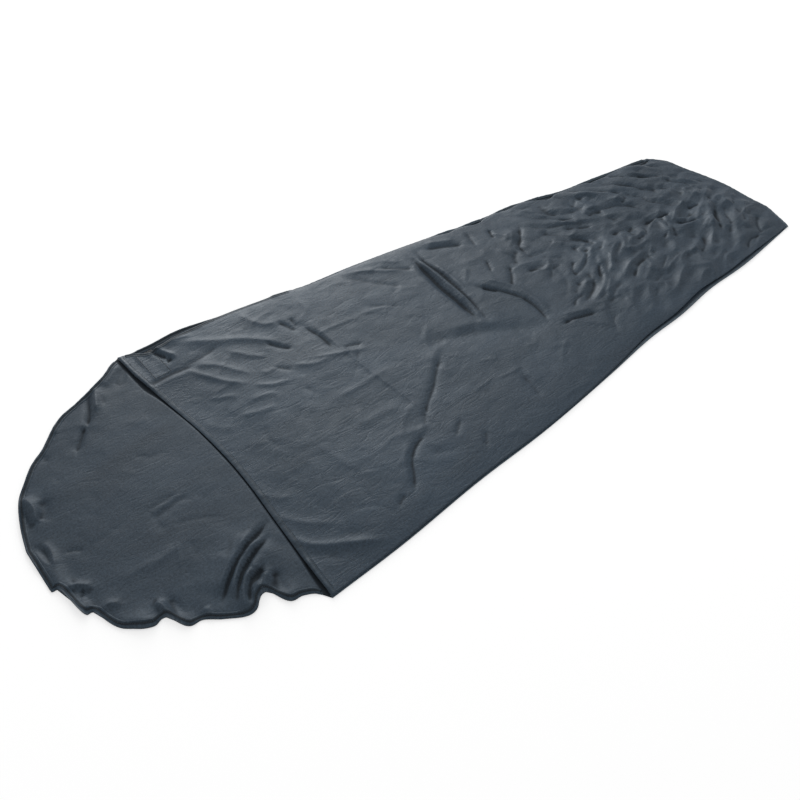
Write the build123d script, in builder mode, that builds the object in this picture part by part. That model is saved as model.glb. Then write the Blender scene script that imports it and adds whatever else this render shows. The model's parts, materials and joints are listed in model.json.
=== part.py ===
from build123d import *
import os

os.makedirs("parts", exist_ok=True)

# A mummy sleeping bag made of one layer of thin cloth all round: a back panel that runs on past the
# mouth as a flat hood, and a front panel sewn to it down both sides and across the foot. The far side
# is left open for a stretch below the mouth, and a hook-and-loop patch closes that slit at its corner.
# The bag lies flat, face up. X runs from the hood's tip to the foot, Y from the near side to the far
# side, Z up from the ground. Each layer of cloth is drawn thicker than it really is.

# ---- Overall sizes -------------------------------------------------------------------------------
body_length = 1803.0        # mouth corners to the middle of the foot edge
body_width = 875.0          # across the two mouth corners
foot_width = 505.0          # across the two foot corners, measured before they are rounded
foot_bow = 40.0             # how far the middle of the foot edge stands out past its corners
foot_corner_radius = 45.0
side_bulge = 10.0           # how far each side curves out past a straight taper
hood_depth = 397.0          # mouth corners to the hood's tip
neck_draw_in = 63.5         # how far each side of the hood is drawn in above the mouth
neck_distance = 100.0       # from the mouth corners to that narrow place
neck_setback = 14.0         # the line that the hood folds on lies this far above the mouth corners
mouth_bow = 31.0            # how far the middle of the mouth edge curves down towards the foot

# ---- Cloth, seams and trim -----------------------------------------------------------------------
cloth = 1.5                 # one layer of cloth
seam_width = 9.0            # the rolled seam allowance that the front panel rests on
dome_rise = 12.0            # how far the middle of the front panel stands up off its flat margins
dome_fade = 540.0           # the stretch above the foot over which the front panel comes down
dome_end_rise = 1.2         # what is left of the rise at the foot
hem_thickness = 1.2
mouth_hem_width = 15.0
hood_hem_width = 11.0
slit_length = 472.0         # from the mouth corner down the far side
slit_hem_width = 12.0
patch_length = 44.0         # hook and loop patches, along the bag
patch_width = 104.0         # and across it
patch_edge_gap = 2.0        # from a patch to the hems beside it
loop_thickness = 1.6
hook_thickness = 2.0
thread_width = 1.2
thread_height = 0.5
stitch_inset = 2.0          # from a hem's inner edge, or a patch's edge, to its row of stitches
seam_stitch_inset = 5.0     # from the bag's edge to the row that holds its seam
bartack_length = 12.0
bartack_width = 3.0
bartack_height = 1.0
brow = (0.42, 0.84)         # a point on the hood's edge: shares of its depth and of its half width,
temple = (0.80, 0.57)       # both counted from the narrow place; and a second one nearer the tip

# ---- Clearances ----------------------------------------------------------------------------------
patch_gap = 1.4             # between the faces of the hook and the loop patch
fold_gap = 0.6              # between the parts on the two sides of a fold line
fold_lift = 0.5             # a fold axis stands this far above the highest cloth beside it

# ---- Places worked out from the sizes ------------------------------------------------------------
x_tip = -(hood_depth + body_length) / 2
x_mouth = x_tip + hood_depth
x_foot = x_mouth + body_length
x_foot_corner = x_foot - foot_bow
x_neck = x_mouth - neck_setback
x_slit_end = x_mouth + slit_length
x_seam_join = x_foot_corner - foot_corner_radius
neck_width = body_width - 2 * neck_draw_in
x_knee = x_foot - dome_fade
seam_height = loop_thickness + patch_gap + hook_thickness
flat_margin = 2 * slit_hem_width + patch_edge_gap + patch_width     # wide enough for the patch
z_front = cloth + seam_height               # underside of the front panel on its flat margins
z_crown = z_front + cloth + dome_rise       # top of the front panel along its middle
tall = z_crown + body_width / 10            # any height that is clear of everything


def half_width(x):
    """Half the bag's width at a place along it."""
    along = (x - x_mouth) / (x_foot_corner - x_mouth)
    taper = (body_width - foot_width) / 2 * along
    return body_width / 2 - taper + 4 * side_bulge * along * (1 - along)


# The front corner folds back on a straight line from the near mouth corner to the slit's end.
fold_start = Vector(x_mouth, -body_width / 2, 0)
fold_end = Vector(x_slit_end, half_width(x_slit_end), 0)
fold_direction = (fold_end - fold_start).normalized()
towards_foot = Vector(fold_direction.Y, -fold_direction.X, 0)
foot_side = Plane(origin=fold_start + towards_foot * (fold_gap / 2), z_dir=towards_foot)
corner_side = Plane(origin=fold_start - towards_foot * (fold_gap / 2), z_dir=towards_foot * -1)
hood_cut = Plane(origin=(x_neck - fold_gap / 2, 0, 0), z_dir=(-1, 0, 0))
body_cut = Plane(origin=(x_neck + fold_gap / 2, 0, 0), z_dir=(1, 0, 0))


def bag_outline(bow):
    """Flat outline from the mouth to the foot; bow carries the mouth edge down, or up if negative."""
    shoulder = (x_mouth, body_width / 2)
    corner = (x_foot_corner, foot_width / 2)
    x_middle = (x_mouth + x_foot_corner) / 2
    with BuildSketch() as outline:
        with BuildLine():
            ThreePointArc(shoulder, (x_mouth + bow, 0), (x_mouth, -shoulder[1]))
            ThreePointArc(shoulder, (x_middle, half_width(x_middle)), corner)
            ThreePointArc(corner, (x_foot, 0), (corner[0], -corner[1]))
            ThreePointArc((corner[0], -corner[1]), (x_middle, -half_width(x_middle)),
                          (x_mouth, -shoulder[1]))
        make_face()
        fillet(outline.vertices().group_by(Axis.X)[-1], foot_corner_radius)
    return outline.sketch


def hood_outline(x_end):
    """Flat outline of the hood from its tip to a straight end at or below the mouth corners."""
    shoulder = Vector(x_mouth, body_width / 2)
    narrow = Vector(x_mouth - neck_distance, neck_width / 2)
    crown_depth = hood_depth - neck_distance
    between = [(narrow.X - crown_depth * down, narrow.Y * out) for down, out in (brow, temple)]
    tip = Vector(x_tip, 0)
    with BuildSketch() as outline:
        with BuildLine() as edge:
            Line((x_end, 0), (x_end, shoulder.Y))
            if x_end > x_mouth:
                Line((x_end, shoulder.Y), shoulder)
            Spline(shoulder, narrow, *between, tip, tangents=[(-1, -0.75), (0, -1)])
            mirror(about=Plane.XZ)
        make_face()
    return outline.sketch


def dome_profile(x, bottom, top):
    """Cross-section at x of a layer that follows the front panel, between two heights above it."""
    flat_to = half_width(x) - flat_margin
    reach = half_width(x) + flat_margin / 2
    rise = max(dome_rise * min(1, (x_foot - x) / dome_fade), dome_end_rise)
    with BuildSketch(Plane.YZ.offset(x)) as profile:
        with BuildLine():
            for height in (bottom, top):
                level = z_front + height
                Line((-reach, level), (-flat_to, level))
                ThreePointArc((-flat_to, level), (0, level + rise), (flat_to, level))
                Line((flat_to, level), (reach, level))
            Line((-reach, z_front + bottom), (-reach, z_front + top))
            Line((reach, z_front + bottom), (reach, z_front + top))
        make_face()
    return profile.sketch


def front_layer(bottom, top):
    """A layer as long as the bag that follows the front panel's dome."""
    run_on = flat_margin / 4
    stations = [x_mouth - run_on, (x_mouth + x_knee) / 2, x_knee, (x_knee + x_foot) / 2, x_foot + run_on]
    profiles = [dome_profile(x, bottom, top) for x in stations]
    with BuildPart() as layer:
        for upper, lower in zip(profiles, profiles[1:]):
            loft(sections=[upper, lower], ruled=True)
    return layer.part


back_outline = bag_outline(-body_width / 4)
front_outline = bag_outline(mouth_bow)
hood_shape = hood_outline(x_mouth + 2 * hood_hem_width)


def inward(shape, amount):
    """An outline moved in, its edges redrawn as plain arcs, lines and splines."""
    moved = offset(shape, amount=-amount, mode=Mode.PRIVATE)
    steps = 8
    with BuildSketch() as outline:
        with BuildLine():
            for edge in moved.edges():
                if edge.geom_type == GeomType.OFFSET:
                    points = [edge @ (step / steps) for step in range(steps + 1)]
                    Spline(points, tangents=[edge % 0, edge % 1])
                else:
                    add(edge)
        make_face()
    return outline.sketch


def band(shape, near, far):
    """The strip between two distances inside an outline."""
    with BuildSketch() as strip:
        add(inward(shape, near) if near else shape)
        add(inward(shape, far), mode=Mode.SUBTRACT)
    return strip.sketch


def mouth_strip(near, far):
    """The strip along the mouth edge between two distances down from it."""
    with BuildSketch() as strip:
        add(front_outline)
        with Locations((near, 0)):
            add(front_outline, mode=Mode.INTERSECT)
        with Locations((far, 0)):
            add(front_outline, mode=Mode.SUBTRACT)
    return strip.sketch


def window(x_from, x_to, y_from, y_to):
    """A plain rectangle that picks out one stretch of a strip."""
    with BuildSketch() as pane:
        with Locations(((x_from + x_to) / 2, (y_from + y_to) / 2)):
            Rectangle(x_to - x_from, y_to - y_from)
    return pane.sketch


def pick(strip, x_from, x_to, y_from, y_to):
    """One stretch of a strip."""
    with BuildSketch() as stretch:
        add(strip)
        add(window(x_from, x_to, y_from, y_to), mode=Mode.INTERSECT)
    return stretch.sketch


wide = body_width
near_side = (x_mouth, x_seam_join, -wide, 0)
far_side = (x_slit_end, x_seam_join, 0, wide)
foot_end = (x_seam_join, x_foot + 1, -wide, wide)
slit_side = (x_mouth, x_slit_end - bartack_length, 0, wide)

# ---- The bag's body ------------------------------------------------------------------------------
with BuildPart() as back_panel:
    with BuildSketch(Plane.XY):
        add(back_outline)
        add(hood_outline(x_mouth))
    extrude(amount=cloth)
    split(bisect_by=body_cut, keep=Keep.TOP)

with BuildPart() as front_panel:
    add(front_layer(0, cloth))
    with BuildSketch(Plane.XY):
        add(front_outline)
    extrude(amount=tall, mode=Mode.INTERSECT)
    split(bisect_by=foot_side, keep=Keep.TOP)

seam_strip = band(back_outline, 0, seam_width)

with BuildPart() as near_seam:
    with BuildSketch(Plane.XY.offset(cloth)):
        add(pick(seam_strip, *near_side))
    extrude(amount=seam_height)
    split(bisect_by=foot_side, keep=Keep.TOP)

with BuildPart() as far_seam:
    with BuildSketch(Plane.XY.offset(cloth)):
        add(pick(seam_strip, *far_side))
    extrude(amount=seam_height)

with BuildPart() as foot_seam:
    with BuildSketch(Plane.XY.offset(cloth)):
        add(pick(seam_strip, *foot_end))
    extrude(amount=seam_height)

# ---- The slit and its patch ----------------------------------------------------------------------
slit_strip = pick(band(back_outline, 0, slit_hem_width), *slit_side)

with BuildPart() as slit_back_hem:
    with BuildSketch(Plane.XY.offset(cloth)):
        add(slit_strip)
    extrude(amount=hem_thickness)

with BuildPart() as slit_front_hem:
    with BuildSketch(Plane.XY.offset(z_front - hem_thickness)):
        add(slit_strip)
        add(front_outline, mode=Mode.INTERSECT)
        add(mouth_strip(0, mouth_hem_width), mode=Mode.SUBTRACT)
    extrude(amount=hem_thickness)

patch_far_edge = body_width / 2 - slit_hem_width * 2 - patch_edge_gap
bow_at_patch = mouth_bow * (1 - ((patch_far_edge - patch_width) / (body_width / 2)) ** 2)
patch_top_edge = x_mouth + bow_at_patch + mouth_hem_width + patch_edge_gap
patch_shape = window(patch_top_edge, patch_top_edge + patch_length,
                     patch_far_edge - patch_width, patch_far_edge)

with BuildPart() as loop_patch:
    with BuildSketch(Plane.XY.offset(cloth)):
        add(patch_shape)
    extrude(amount=loop_thickness)

with BuildPart() as hook_patch:
    with BuildSketch(Plane.XY.offset(z_front - hook_thickness)):
        add(patch_shape)
    extrude(amount=hook_thickness)

with BuildPart() as slit_bartack:
    tack_y = half_width(x_slit_end) - seam_stitch_inset
    with BuildSketch(Plane.XY.offset(z_front + cloth)):
        with Locations((x_slit_end + bartack_length, tack_y)):
            Rectangle(bartack_length, bartack_width)
    extrude(amount=bartack_height)

# ---- The corner that folds back ------------------------------------------------------------------
with BuildPart() as front_corner:
    add(front_layer(0, cloth))
    with BuildSketch(Plane.XY):
        add(front_outline)
    extrude(amount=tall, mode=Mode.INTERSECT)
    split(bisect_by=corner_side, keep=Keep.TOP)


with BuildPart() as mouth_hem:
    add(front_layer(-hem_thickness, 0))
    with BuildSketch(Plane.XY):
        add(mouth_strip(0, mouth_hem_width))
    extrude(amount=tall, mode=Mode.INTERSECT)
    split(bisect_by=corner_side, keep=Keep.TOP)

# ---- The hood ------------------------------------------------------------------------------------
with BuildPart() as hood_panel:
    with BuildSketch(Plane.XY):
        add(hood_shape)
    extrude(amount=cloth)
    split(bisect_by=hood_cut, keep=Keep.TOP)

with BuildPart() as hood_hem:
    with BuildSketch(Plane.XY.offset(cloth)):
        add(band(hood_shape, 0, hood_hem_width))
    extrude(amount=hem_thickness)
    split(bisect_by=hood_cut, keep=Keep.TOP)

# ---- Rows of stitches ----------------------------------------------------------------------------
hood_row = hood_hem_width - stitch_inset
mouth_row = mouth_hem_width - stitch_inset
seam_row = band(back_outline, seam_stitch_inset, seam_stitch_inset + thread_width)

with BuildPart() as hood_hem_thread:
    with BuildSketch(Plane.XY.offset(cloth + hem_thickness)):
        add(band(hood_shape, hood_row - thread_width, hood_row))
    extrude(amount=thread_height)
    split(bisect_by=hood_cut, keep=Keep.TOP)

with BuildPart() as mouth_hem_thread:
    add(front_layer(cloth, cloth + thread_height))
    with BuildSketch(Plane.XY):
        add(mouth_strip(mouth_row - thread_width, mouth_row))
    extrude(amount=tall, mode=Mode.INTERSECT)
    split(bisect_by=corner_side, keep=Keep.TOP)

with BuildPart() as patch_thread:
    with BuildSketch(Plane.XY.offset(z_front + cloth)):
        add(band(patch_shape, stitch_inset, stitch_inset + thread_width))
    extrude(amount=thread_height)

with BuildPart() as near_seam_thread:
    with BuildSketch(Plane.XY.offset(z_front + cloth)):
        add(pick(seam_row, *near_side))
    extrude(amount=thread_height)
    split(bisect_by=foot_side, keep=Keep.TOP)

with BuildPart() as far_seam_thread:
    with BuildSketch(Plane.XY.offset(z_front + cloth)):
        add(pick(seam_row, x_slit_end + bartack_length * 1.6, *far_side[1:]))
    extrude(amount=thread_height)

pieces = {
    "back_panel": back_panel,
    "front_panel": front_panel,
    "near_seam": near_seam,
    "far_seam": far_seam,
    "foot_seam": foot_seam,
    "slit_back_hem": slit_back_hem,
    "slit_front_hem": slit_front_hem,
    "loop_patch": loop_patch,
    "hook_patch": hook_patch,
    "slit_bartack": slit_bartack,
    "front_corner": front_corner,
    "mouth_hem": mouth_hem,
    "hood_panel": hood_panel,
    "hood_hem": hood_hem,
    "hood_hem_thread": hood_hem_thread,
    "mouth_hem_thread": mouth_hem_thread,
    "patch_thread": patch_thread,
    "near_seam_thread": near_seam_thread,
    "far_seam_thread": far_seam_thread,
}
for name, piece in pieces.items():
    piece.part.label = name
    export_step(piece.part, f"parts/{name}.step")

print("hood fold axis at x", round(x_neck, 2), "z", round(cloth + fold_lift, 2))
print("corner fold axis from", fold_start, "along", fold_direction, "z", round(z_crown + fold_lift, 2))
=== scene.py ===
"""A mummy sleeping bag of one thin, silky layer of cloth, spread flat and face up on a pale floor.

The bag is two sheets: a back cloth that runs on past the mouth as a flat hood, and a front cloth sewn to it
down both sides and across the foot. Hems, seams, the hook-and-loop patch and the rows of stitches are pieces
of their own. Everything is in metres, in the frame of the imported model: X from the hood's tip to the foot, Y
from the near side to the side with the slit, Z up.
"""

import json
import logging
import math
import random
from dataclasses import dataclass, field
from enum import Enum
from typing import Callable, Sequence

import bmesh
import bpy
import numpy as np
from mathutils import Euler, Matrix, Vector, noise
from mathutils.bvhtree import BVHTree

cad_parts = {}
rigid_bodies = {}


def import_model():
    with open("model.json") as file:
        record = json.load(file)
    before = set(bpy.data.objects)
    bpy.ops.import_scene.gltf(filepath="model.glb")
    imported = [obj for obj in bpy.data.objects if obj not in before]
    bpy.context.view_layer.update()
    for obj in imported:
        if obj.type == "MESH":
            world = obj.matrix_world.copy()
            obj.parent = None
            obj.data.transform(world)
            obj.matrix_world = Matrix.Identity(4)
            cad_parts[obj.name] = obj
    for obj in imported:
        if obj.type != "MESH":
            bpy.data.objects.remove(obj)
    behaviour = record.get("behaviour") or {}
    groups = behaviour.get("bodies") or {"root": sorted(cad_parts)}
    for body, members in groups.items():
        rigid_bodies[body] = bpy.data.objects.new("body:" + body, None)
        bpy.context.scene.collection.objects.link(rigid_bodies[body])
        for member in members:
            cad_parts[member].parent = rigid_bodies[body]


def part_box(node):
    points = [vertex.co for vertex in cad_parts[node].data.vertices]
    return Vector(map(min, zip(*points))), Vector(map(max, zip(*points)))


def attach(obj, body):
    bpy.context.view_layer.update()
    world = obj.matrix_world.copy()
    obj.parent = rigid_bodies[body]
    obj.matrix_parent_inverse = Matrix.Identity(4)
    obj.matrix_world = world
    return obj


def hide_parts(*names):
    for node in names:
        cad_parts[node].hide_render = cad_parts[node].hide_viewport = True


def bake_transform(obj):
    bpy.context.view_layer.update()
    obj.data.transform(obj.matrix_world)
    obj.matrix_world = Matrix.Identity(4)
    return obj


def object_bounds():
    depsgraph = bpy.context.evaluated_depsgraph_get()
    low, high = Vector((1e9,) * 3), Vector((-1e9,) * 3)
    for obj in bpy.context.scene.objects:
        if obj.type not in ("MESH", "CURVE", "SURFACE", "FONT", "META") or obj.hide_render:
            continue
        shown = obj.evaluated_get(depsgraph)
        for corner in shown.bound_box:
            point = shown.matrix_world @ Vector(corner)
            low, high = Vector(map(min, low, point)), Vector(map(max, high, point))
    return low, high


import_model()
cad_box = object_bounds()

logging.basicConfig(level=logging.INFO, format="%(message)s")
log = logging.getLogger("liner")

MM = 0.001
CLOTH_THICKNESS = 0.4 * MM
UNDER_CELLS = 4
Point = tuple[float, float]
Curve = tuple[Point, ...]
Array = np.ndarray
Piece, Mesh, Material, Socket = (
    bpy.types.Object, bpy.types.Mesh, bpy.types.Material, bpy.types.NodeSocket)
LOW, HIGH = Vector(cad_box[0]), Vector(cad_box[1])


class Body(str, Enum):
    """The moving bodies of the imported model."""

    BAG = "bag"
    HOOD = "hood"
    CORNER = "corner"


def smooth_step(low: float, high: float, value: Array) -> Array:
    """Goes smoothly from 0 at low to 1 at high.

    Args:
        low: Where the change starts.
        high: Where it ends.
        value: The places to weigh.

    Returns:
        The weight at each place.
    """
    t = np.clip((value - low) / (high - low), 0.0, 1.0)
    return t * t * (3.0 - 2.0 * t)


def curve_through(points: Sequence[Point]) -> Callable[[Array], Array]:
    """Makes a smooth function that passes through a few given points.

    Args:
        points: Pairs of place and value, in order of place.

    Returns:
        A function of place.
    """
    xs, ys = (np.array(c, dtype=float) for c in zip(*points))
    slopes = np.gradient(ys, xs)

    def value(x: Array) -> Array:
        """Reads the curve at each x."""
        x = np.clip(np.asarray(x, dtype=float), xs[0], xs[-1])
        i = np.clip(np.searchsorted(xs, x, side="right") - 1, 0, len(xs) - 2)
        span = xs[i + 1] - xs[i]
        t = (x - xs[i]) / span
        h0, h1 = 2 * t**3 - 3 * t**2 + 1, t**3 - 2 * t**2 + t
        h2, h3 = 3 * t**2 - 2 * t**3, t**3 - t**2
        return h0 * ys[i] + h1 * span * slopes[i] + h2 * ys[i + 1] + h3 * span * slopes[i + 1]

    return value


@dataclass(frozen=True)
class Fold:
    """One ridge or crease in a cloth.

    Attributes:
        path: The line that it follows, in plan.
        height: How far its crest stands up, or sinks if negative, in millimetres.
        width: How far out its flanks reach, in millimetres.
        lean: From -1 to 1: how much steeper the flank on the left of its path is.
    """

    path: Curve
    height: float
    width: float
    lean: float = 0.0

    def line(self) -> Array:
        """Runs a smooth line through the path.

        Returns:
            Points along the line, evenly enough spaced to measure from.
        """
        p = np.array(self.path, dtype=float)
        if len(p) == 2:
            return np.linspace(p[0], p[1], 3)
        t = np.arange(len(p), dtype=float)
        fine = np.linspace(0, len(p) - 1, 5 * (len(p) - 1) + 1)
        return np.stack([curve_through(list(zip(t, p[:, k])))(fine) for k in (0, 1)], axis=1)

    def raise_by(self, plan: Array) -> Array:
        """Works out how far the fold lifts each point of a cloth.

        Args:
            plan: The points' places in plan, one row each.

        Returns:
            The lift of each point, in metres.
        """
        line = self.line()
        reach = 6.0 * self.width * MM * (1 + abs(self.lean))
        low, high = line.min(axis=0) - reach, line.max(axis=0) + reach
        near = np.nonzero(((plan > low) & (plan < high)).all(axis=1))[0]
        lift = np.zeros(len(plan))
        if not len(near):
            return lift
        here = plan[near]
        steps = np.linalg.norm(np.diff(line, axis=0), axis=1)
        run = np.concatenate(([0.0], np.cumsum(steps)))
        best = np.full(len(near), np.inf)
        side, along = np.zeros(len(near)), np.zeros(len(near))
        for i, step in enumerate(steps):
            a, ab = line[i], line[i + 1] - line[i]
            t = np.clip((here - a) @ ab / (step * step), 0.0, 1.0)
            off = here - (a + t[:, None] * ab)
            far = np.hypot(off[:, 0], off[:, 1])
            closer = far < best
            best = np.where(closer, far, best)
            side = np.where(closer, np.sign(ab[0] * off[:, 1] - ab[1] * off[:, 0]), side)
            along = np.where(closer, (run[i] + t * step) / run[-1], along)
        flank = self.width * MM * (1.0 - self.lean * side)
        d = best / flank
        crest = 0.4
        shape = np.exp(-(np.sqrt(d * d + crest * crest) - crest) * 1.3)
        ends = smooth_step(0.0, 0.22, along) * smooth_step(0.0, 0.22, 1.0 - along)
        lift[near] = self.height * MM * shape * (0.2 + 0.8 * ends)
        return lift


def creases(*rows: tuple[float, ...]) -> tuple[Fold, ...]:
    """Makes folds from rows of numbers.

    Args:
        *rows: A fold's height and width, its lean if it has one, then the X and Y of each point of its
            path, all but the lean in millimetres.

    Returns:
        The folds.
    """
    folds = []
    for row in rows:
        head = 2 + len(row) % 2
        height, width, *lean = row[:head]
        path = tuple((x / 1000, y / 1000) for x, y in zip(row[head::2], row[head + 1::2]))
        folds.append(Fold(path, height, width, *lean))
    return tuple(folds)


# ---- The bag's outline on the floor --------------------------------------------------------------


@dataclass(frozen=True)
class CutLines:
    """The bag's cut edges as they lie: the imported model's own edges, and how far the cloth wanders from them.

    Attributes:
        foot_bow: How far the foot edge bows out between its corners, in metres.
        corner: The radius of the foot's far and near corners, in metres.
        side_bulge: How far the sides bulge past straight lines, in metres.
        far_wander: How far out of its cut line the far side lies: metres along X, then millimetres.
        near_wander: The same for the near side.
        foot_wander: The same for the foot edge: metres along Y, then millimetres.
        mouth_wander: How far the mouth's edge lies from a straight line between its corners: the same.
        hood_far: The hood's far edge, in millimetres from its tip along X, and out along Y.
        hood_near: The hood's near edge, in the same way.
        near_reveal: How far the front cloth's near edge stays inside: metres along X, then millimetres.
        far_reveal: The same at its far edge.
        curled: How much a millimetre of reveal beyond the first few curls the back cloth's edge up.
    """

    foot_bow: float = 0.038
    corner: Point = (0.045, 0.010)
    side_bulge: float = 0.010
    far_wander: Curve = (
        (-0.703, -1), (-0.64, -4), (-0.55, 10), (-0.44, 6), (-0.30, 3), (-0.21, -4), (-0.05, 1), (0.17, 0),
        (0.35, -6), (0.55, 1), (0.63, -10), (0.78, -11), (0.96, -6), (1.06, -7),
    )
    near_wander: Curve = (
        (-0.703, -6), (-0.53, -2), (-0.30, -6), (-0.09, 0), (0.17, -5), (0.35, -11), (0.48, -5), (0.62, -9),
        (0.78, 3), (0.96, 3), (1.06, 2),
    )
    foot_wander: Curve = (
        (-0.25, -2), (-0.20, 1), (-0.165, 5), (-0.10, -5), (0.0, -4), (0.08, -6), (0.14, -5), (0.20, 6),
        (0.25, 0),
    )
    mouth_wander: Curve = (
        (-0.431, 1), (-0.37, 4), (-0.30, 10), (-0.20, 19), (-0.10, 28), (0.0, 31), (0.10, 27), (0.20, 17),
        (0.28, 9), (0.34, 2), (0.436, -1),
    )
    hood_far: Curve = (
        (2, 25), (9, 60), (20, 100), (40, 155), (70, 197), (100, 235), (135, 263), (170, 300), (210, 333),
        (250, 350), (300, 372), (340, 396), (375, 424), (397, 436),
    )
    hood_near: Curve = (
        (2, -90), (20, -116), (24, -150), (45, -182), (57, -222), (85, -258), (115, -276), (143, -276),
        (157, -308), (190, -320), (220, -343), (280, -361), (297, -344), (315, -347), (327, -378),
        (360, -393), (382, -407), (397, -431),
    )
    near_reveal: Curve = (
        (-0.703, 2), (-0.30, 3), (0.20, 4), (0.36, 10), (0.45, 11), (0.56, 14), (0.70, 9), (0.80, 12),
        (0.92, 7), (1.02, 2), (1.10, 2),
    )
    far_reveal: Curve = (
        (-0.703, 1), (-0.67, 5), (-0.645, 24), (-0.60, 26), (-0.55, 24), (-0.50, 19), (-0.45, 9), (-0.30, 6),
        (-0.15, 7), (0.10, 6), (0.22, 7), (0.26, 18), (0.30, 5), (0.35, 22), (0.41, 4), (0.48, 18),
        (0.55, 6), (0.60, 28), (0.65, 12), (0.72, 6), (0.80, 20), (0.88, 9), (0.94, 13), (0.99, 30),
        (1.04, 9), (1.10, 3),
    )
    curled: float = 0.26

    @property
    def mouth(self) -> float:
        """Where the mouth's corners are along X."""
        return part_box("mouth_hem")[0].x

    @property
    def tip(self) -> float:
        """Where the hood's tip is along X."""
        return LOW.x + 1.5 * MM

    def half_width(self, x: Array, corner: float) -> Array:
        """The cut's half width at each x, with a rounded foot corner.

        Args:
            x: Places along the bag.
            corner: The corner's radius.

        Returns:
            Half the bag's width at each.
        """
        wide, slim = HIGH.y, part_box("foot_seam")[1].y - 6 * MM
        corner_x = HIGH.x - self.foot_bow - corner
        t = (x - self.mouth) / (corner_x + corner - self.mouth)
        side = wide + (slim - wide) * t + 4 * self.side_bulge * t * (1 - t)
        past = np.clip((x - corner_x) / corner, 0.0, 0.995)
        return side - corner * (1 - np.sqrt(1 - past * past))

    def edge(self, far: bool) -> Callable[[Array], Array]:
        """Makes one side's whole line, from the hood's tip to the foot.

        Args:
            far: The far side if true, otherwise the near side.

        Returns:
            The side's Y, as a function of X.
        """
        wander = curve_through(self.far_wander if far else self.near_wander)
        hood_mm = self.hood_far if far else self.hood_near
        hood = curve_through([(LOW.x + d * MM, y * MM) for d, y in hood_mm])
        sign = 1.0 if far else -1.0

        def line(x: Array) -> Array:
            """Reads the side's Y at each x."""
            x = np.asarray(x, dtype=float)
            body = sign * (self.half_width(np.maximum(x, self.mouth), self.corner[0 if far else 1])
                           + wander(x) * MM)
            return np.where(x < self.mouth, hood(x), body)

        return line

    def reveal(self, far: bool) -> Callable[[Array], Array]:
        """Makes the distance from one side's edge in to the front cloth's edge, as a function of X."""
        inside = curve_through(self.far_reveal if far else self.near_reveal)
        return lambda x: inside(x) * MM

    def curl(self, far: bool, x: Array) -> Array:
        """How high one side of the back cloth curls up at each x."""
        return self.curled * np.clip(self.reveal(far)(x) - 5 * MM, 0.0, 18 * MM)

    def foot(self, y: Array) -> Array:
        """The foot edge's X at each y."""
        corner = self.corner[0]
        inner = self.half_width(np.array(HIGH.x - self.foot_bow - corner), corner) - corner
        bow = self.foot_bow * (1 - np.clip(np.abs(y) / inner, 0, 1.2) ** 2)
        return HIGH.x - self.foot_bow + bow + curve_through(self.foot_wander)(y) * MM

    def mouth_line(self, y: Array) -> Array:
        """The mouth edge's X at each y."""
        return self.mouth + curve_through(self.mouth_wander)(y) * MM

    def tip_line(self, y: Array) -> Array:
        """The X of the hood's blunt tip at each y."""
        return self.tip + 0.0 * np.asarray(y)


CUT = CutLines()

# ---- Where the cloth is creased ------------------------------------------------------------------

# Ripples that fan out from the patch, and the flat creases that packing left in the upper half.
UPPER_FOLDS = creases(
    (3.2, 8, -605, 295, -577, 240, -545, 185, -510, 152),
    (2.6, 9, -580, 290, -535, 250, -505, 200, -488, 178), (2.4, 8, -490, 280, -460, 235, -425, 200),
    (4.8, 15, -570, 385, -500, 335, -440, 295, -400, 255, -370, 215),
    (-4.0, 7, -405, 250, -385, 215, -362, 188), (3.6, 12, -400, 385, -378, 320, -335, 287),
    (-4.0, 7, -338, 297, -328, 270, -318, 238), (-2.8, 6, -305, 290, -311, 250),
    (-3.6, 6, -298, 245, -287, 180, -290, 125),
    (1.6, 5, -278, 250, -272, 120, -270, 0, -262, -100, -255, -280),
    (1.6, 6, -300, 195, -240, 194, -160, 186), (2.0, 7, -400, 140, -360, 112, -310, 103),
    (2.4, 6, -350, 132, -290, 103, -215, 73), (-2.6, 5, -268, 118, -222, 99),
    (-2.4, 6, -440, 168, -408, 125), (2.0, 7, -470, 170, -455, 155, -420, 165),
    (2.4, 6, -505, 138, -470, 112, -430, 98), (1.8, 6, -610, 170, -580, 150, -550, 133),
    (1.4, 7, -600, 176, -530, 177), (1.8, 6, -540, 101, -505, 95, -475, 80),
    (2.0, 7, -585, 78, -550, 62, -500, 48), (1.2, 8, -600, 100, -550, 105),
    (1.5, 12, -655, 110, -640, 80, -610, 55), (-1.5, 7, -420, 60, -410, 20),
    (1.8, 8, -390, -12, -330, -17, -220, -12), (1.6, 12, -420, -120, -330, -118, -280, -140),
    (1.4, 8, -380, -190, -320, -208, -280, -215),
    (4.0, 9, -688, -262, -662, -313, -610, -352, -545, -395),
    (-3.2, 10, -690, -315, -665, -345, -635, -370), (2.2, 10, -685, -200, -640, -262, -590, -305),
    (1.6, 10, -680, -130, -650, -170, -620, -190),
    (-4.0, 7, -430, -345, -397, -302, -375, -270, -338, -241, -295, -230),
    (2.4, 9, -430, -325, -405, -285, -385, -255, -342, -225), (-2.4, 6, -475, -347, -445, -331),
    (1.5, 14, -500, -100, -490, -180, -470, -240), (-2.6, 8, -225, -340, -195, -306),
    (-2.4, 6, -258, -278, -212, -242), (-2.0, 7, -600, 302, -550, 302, -500, 312),
)

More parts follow.
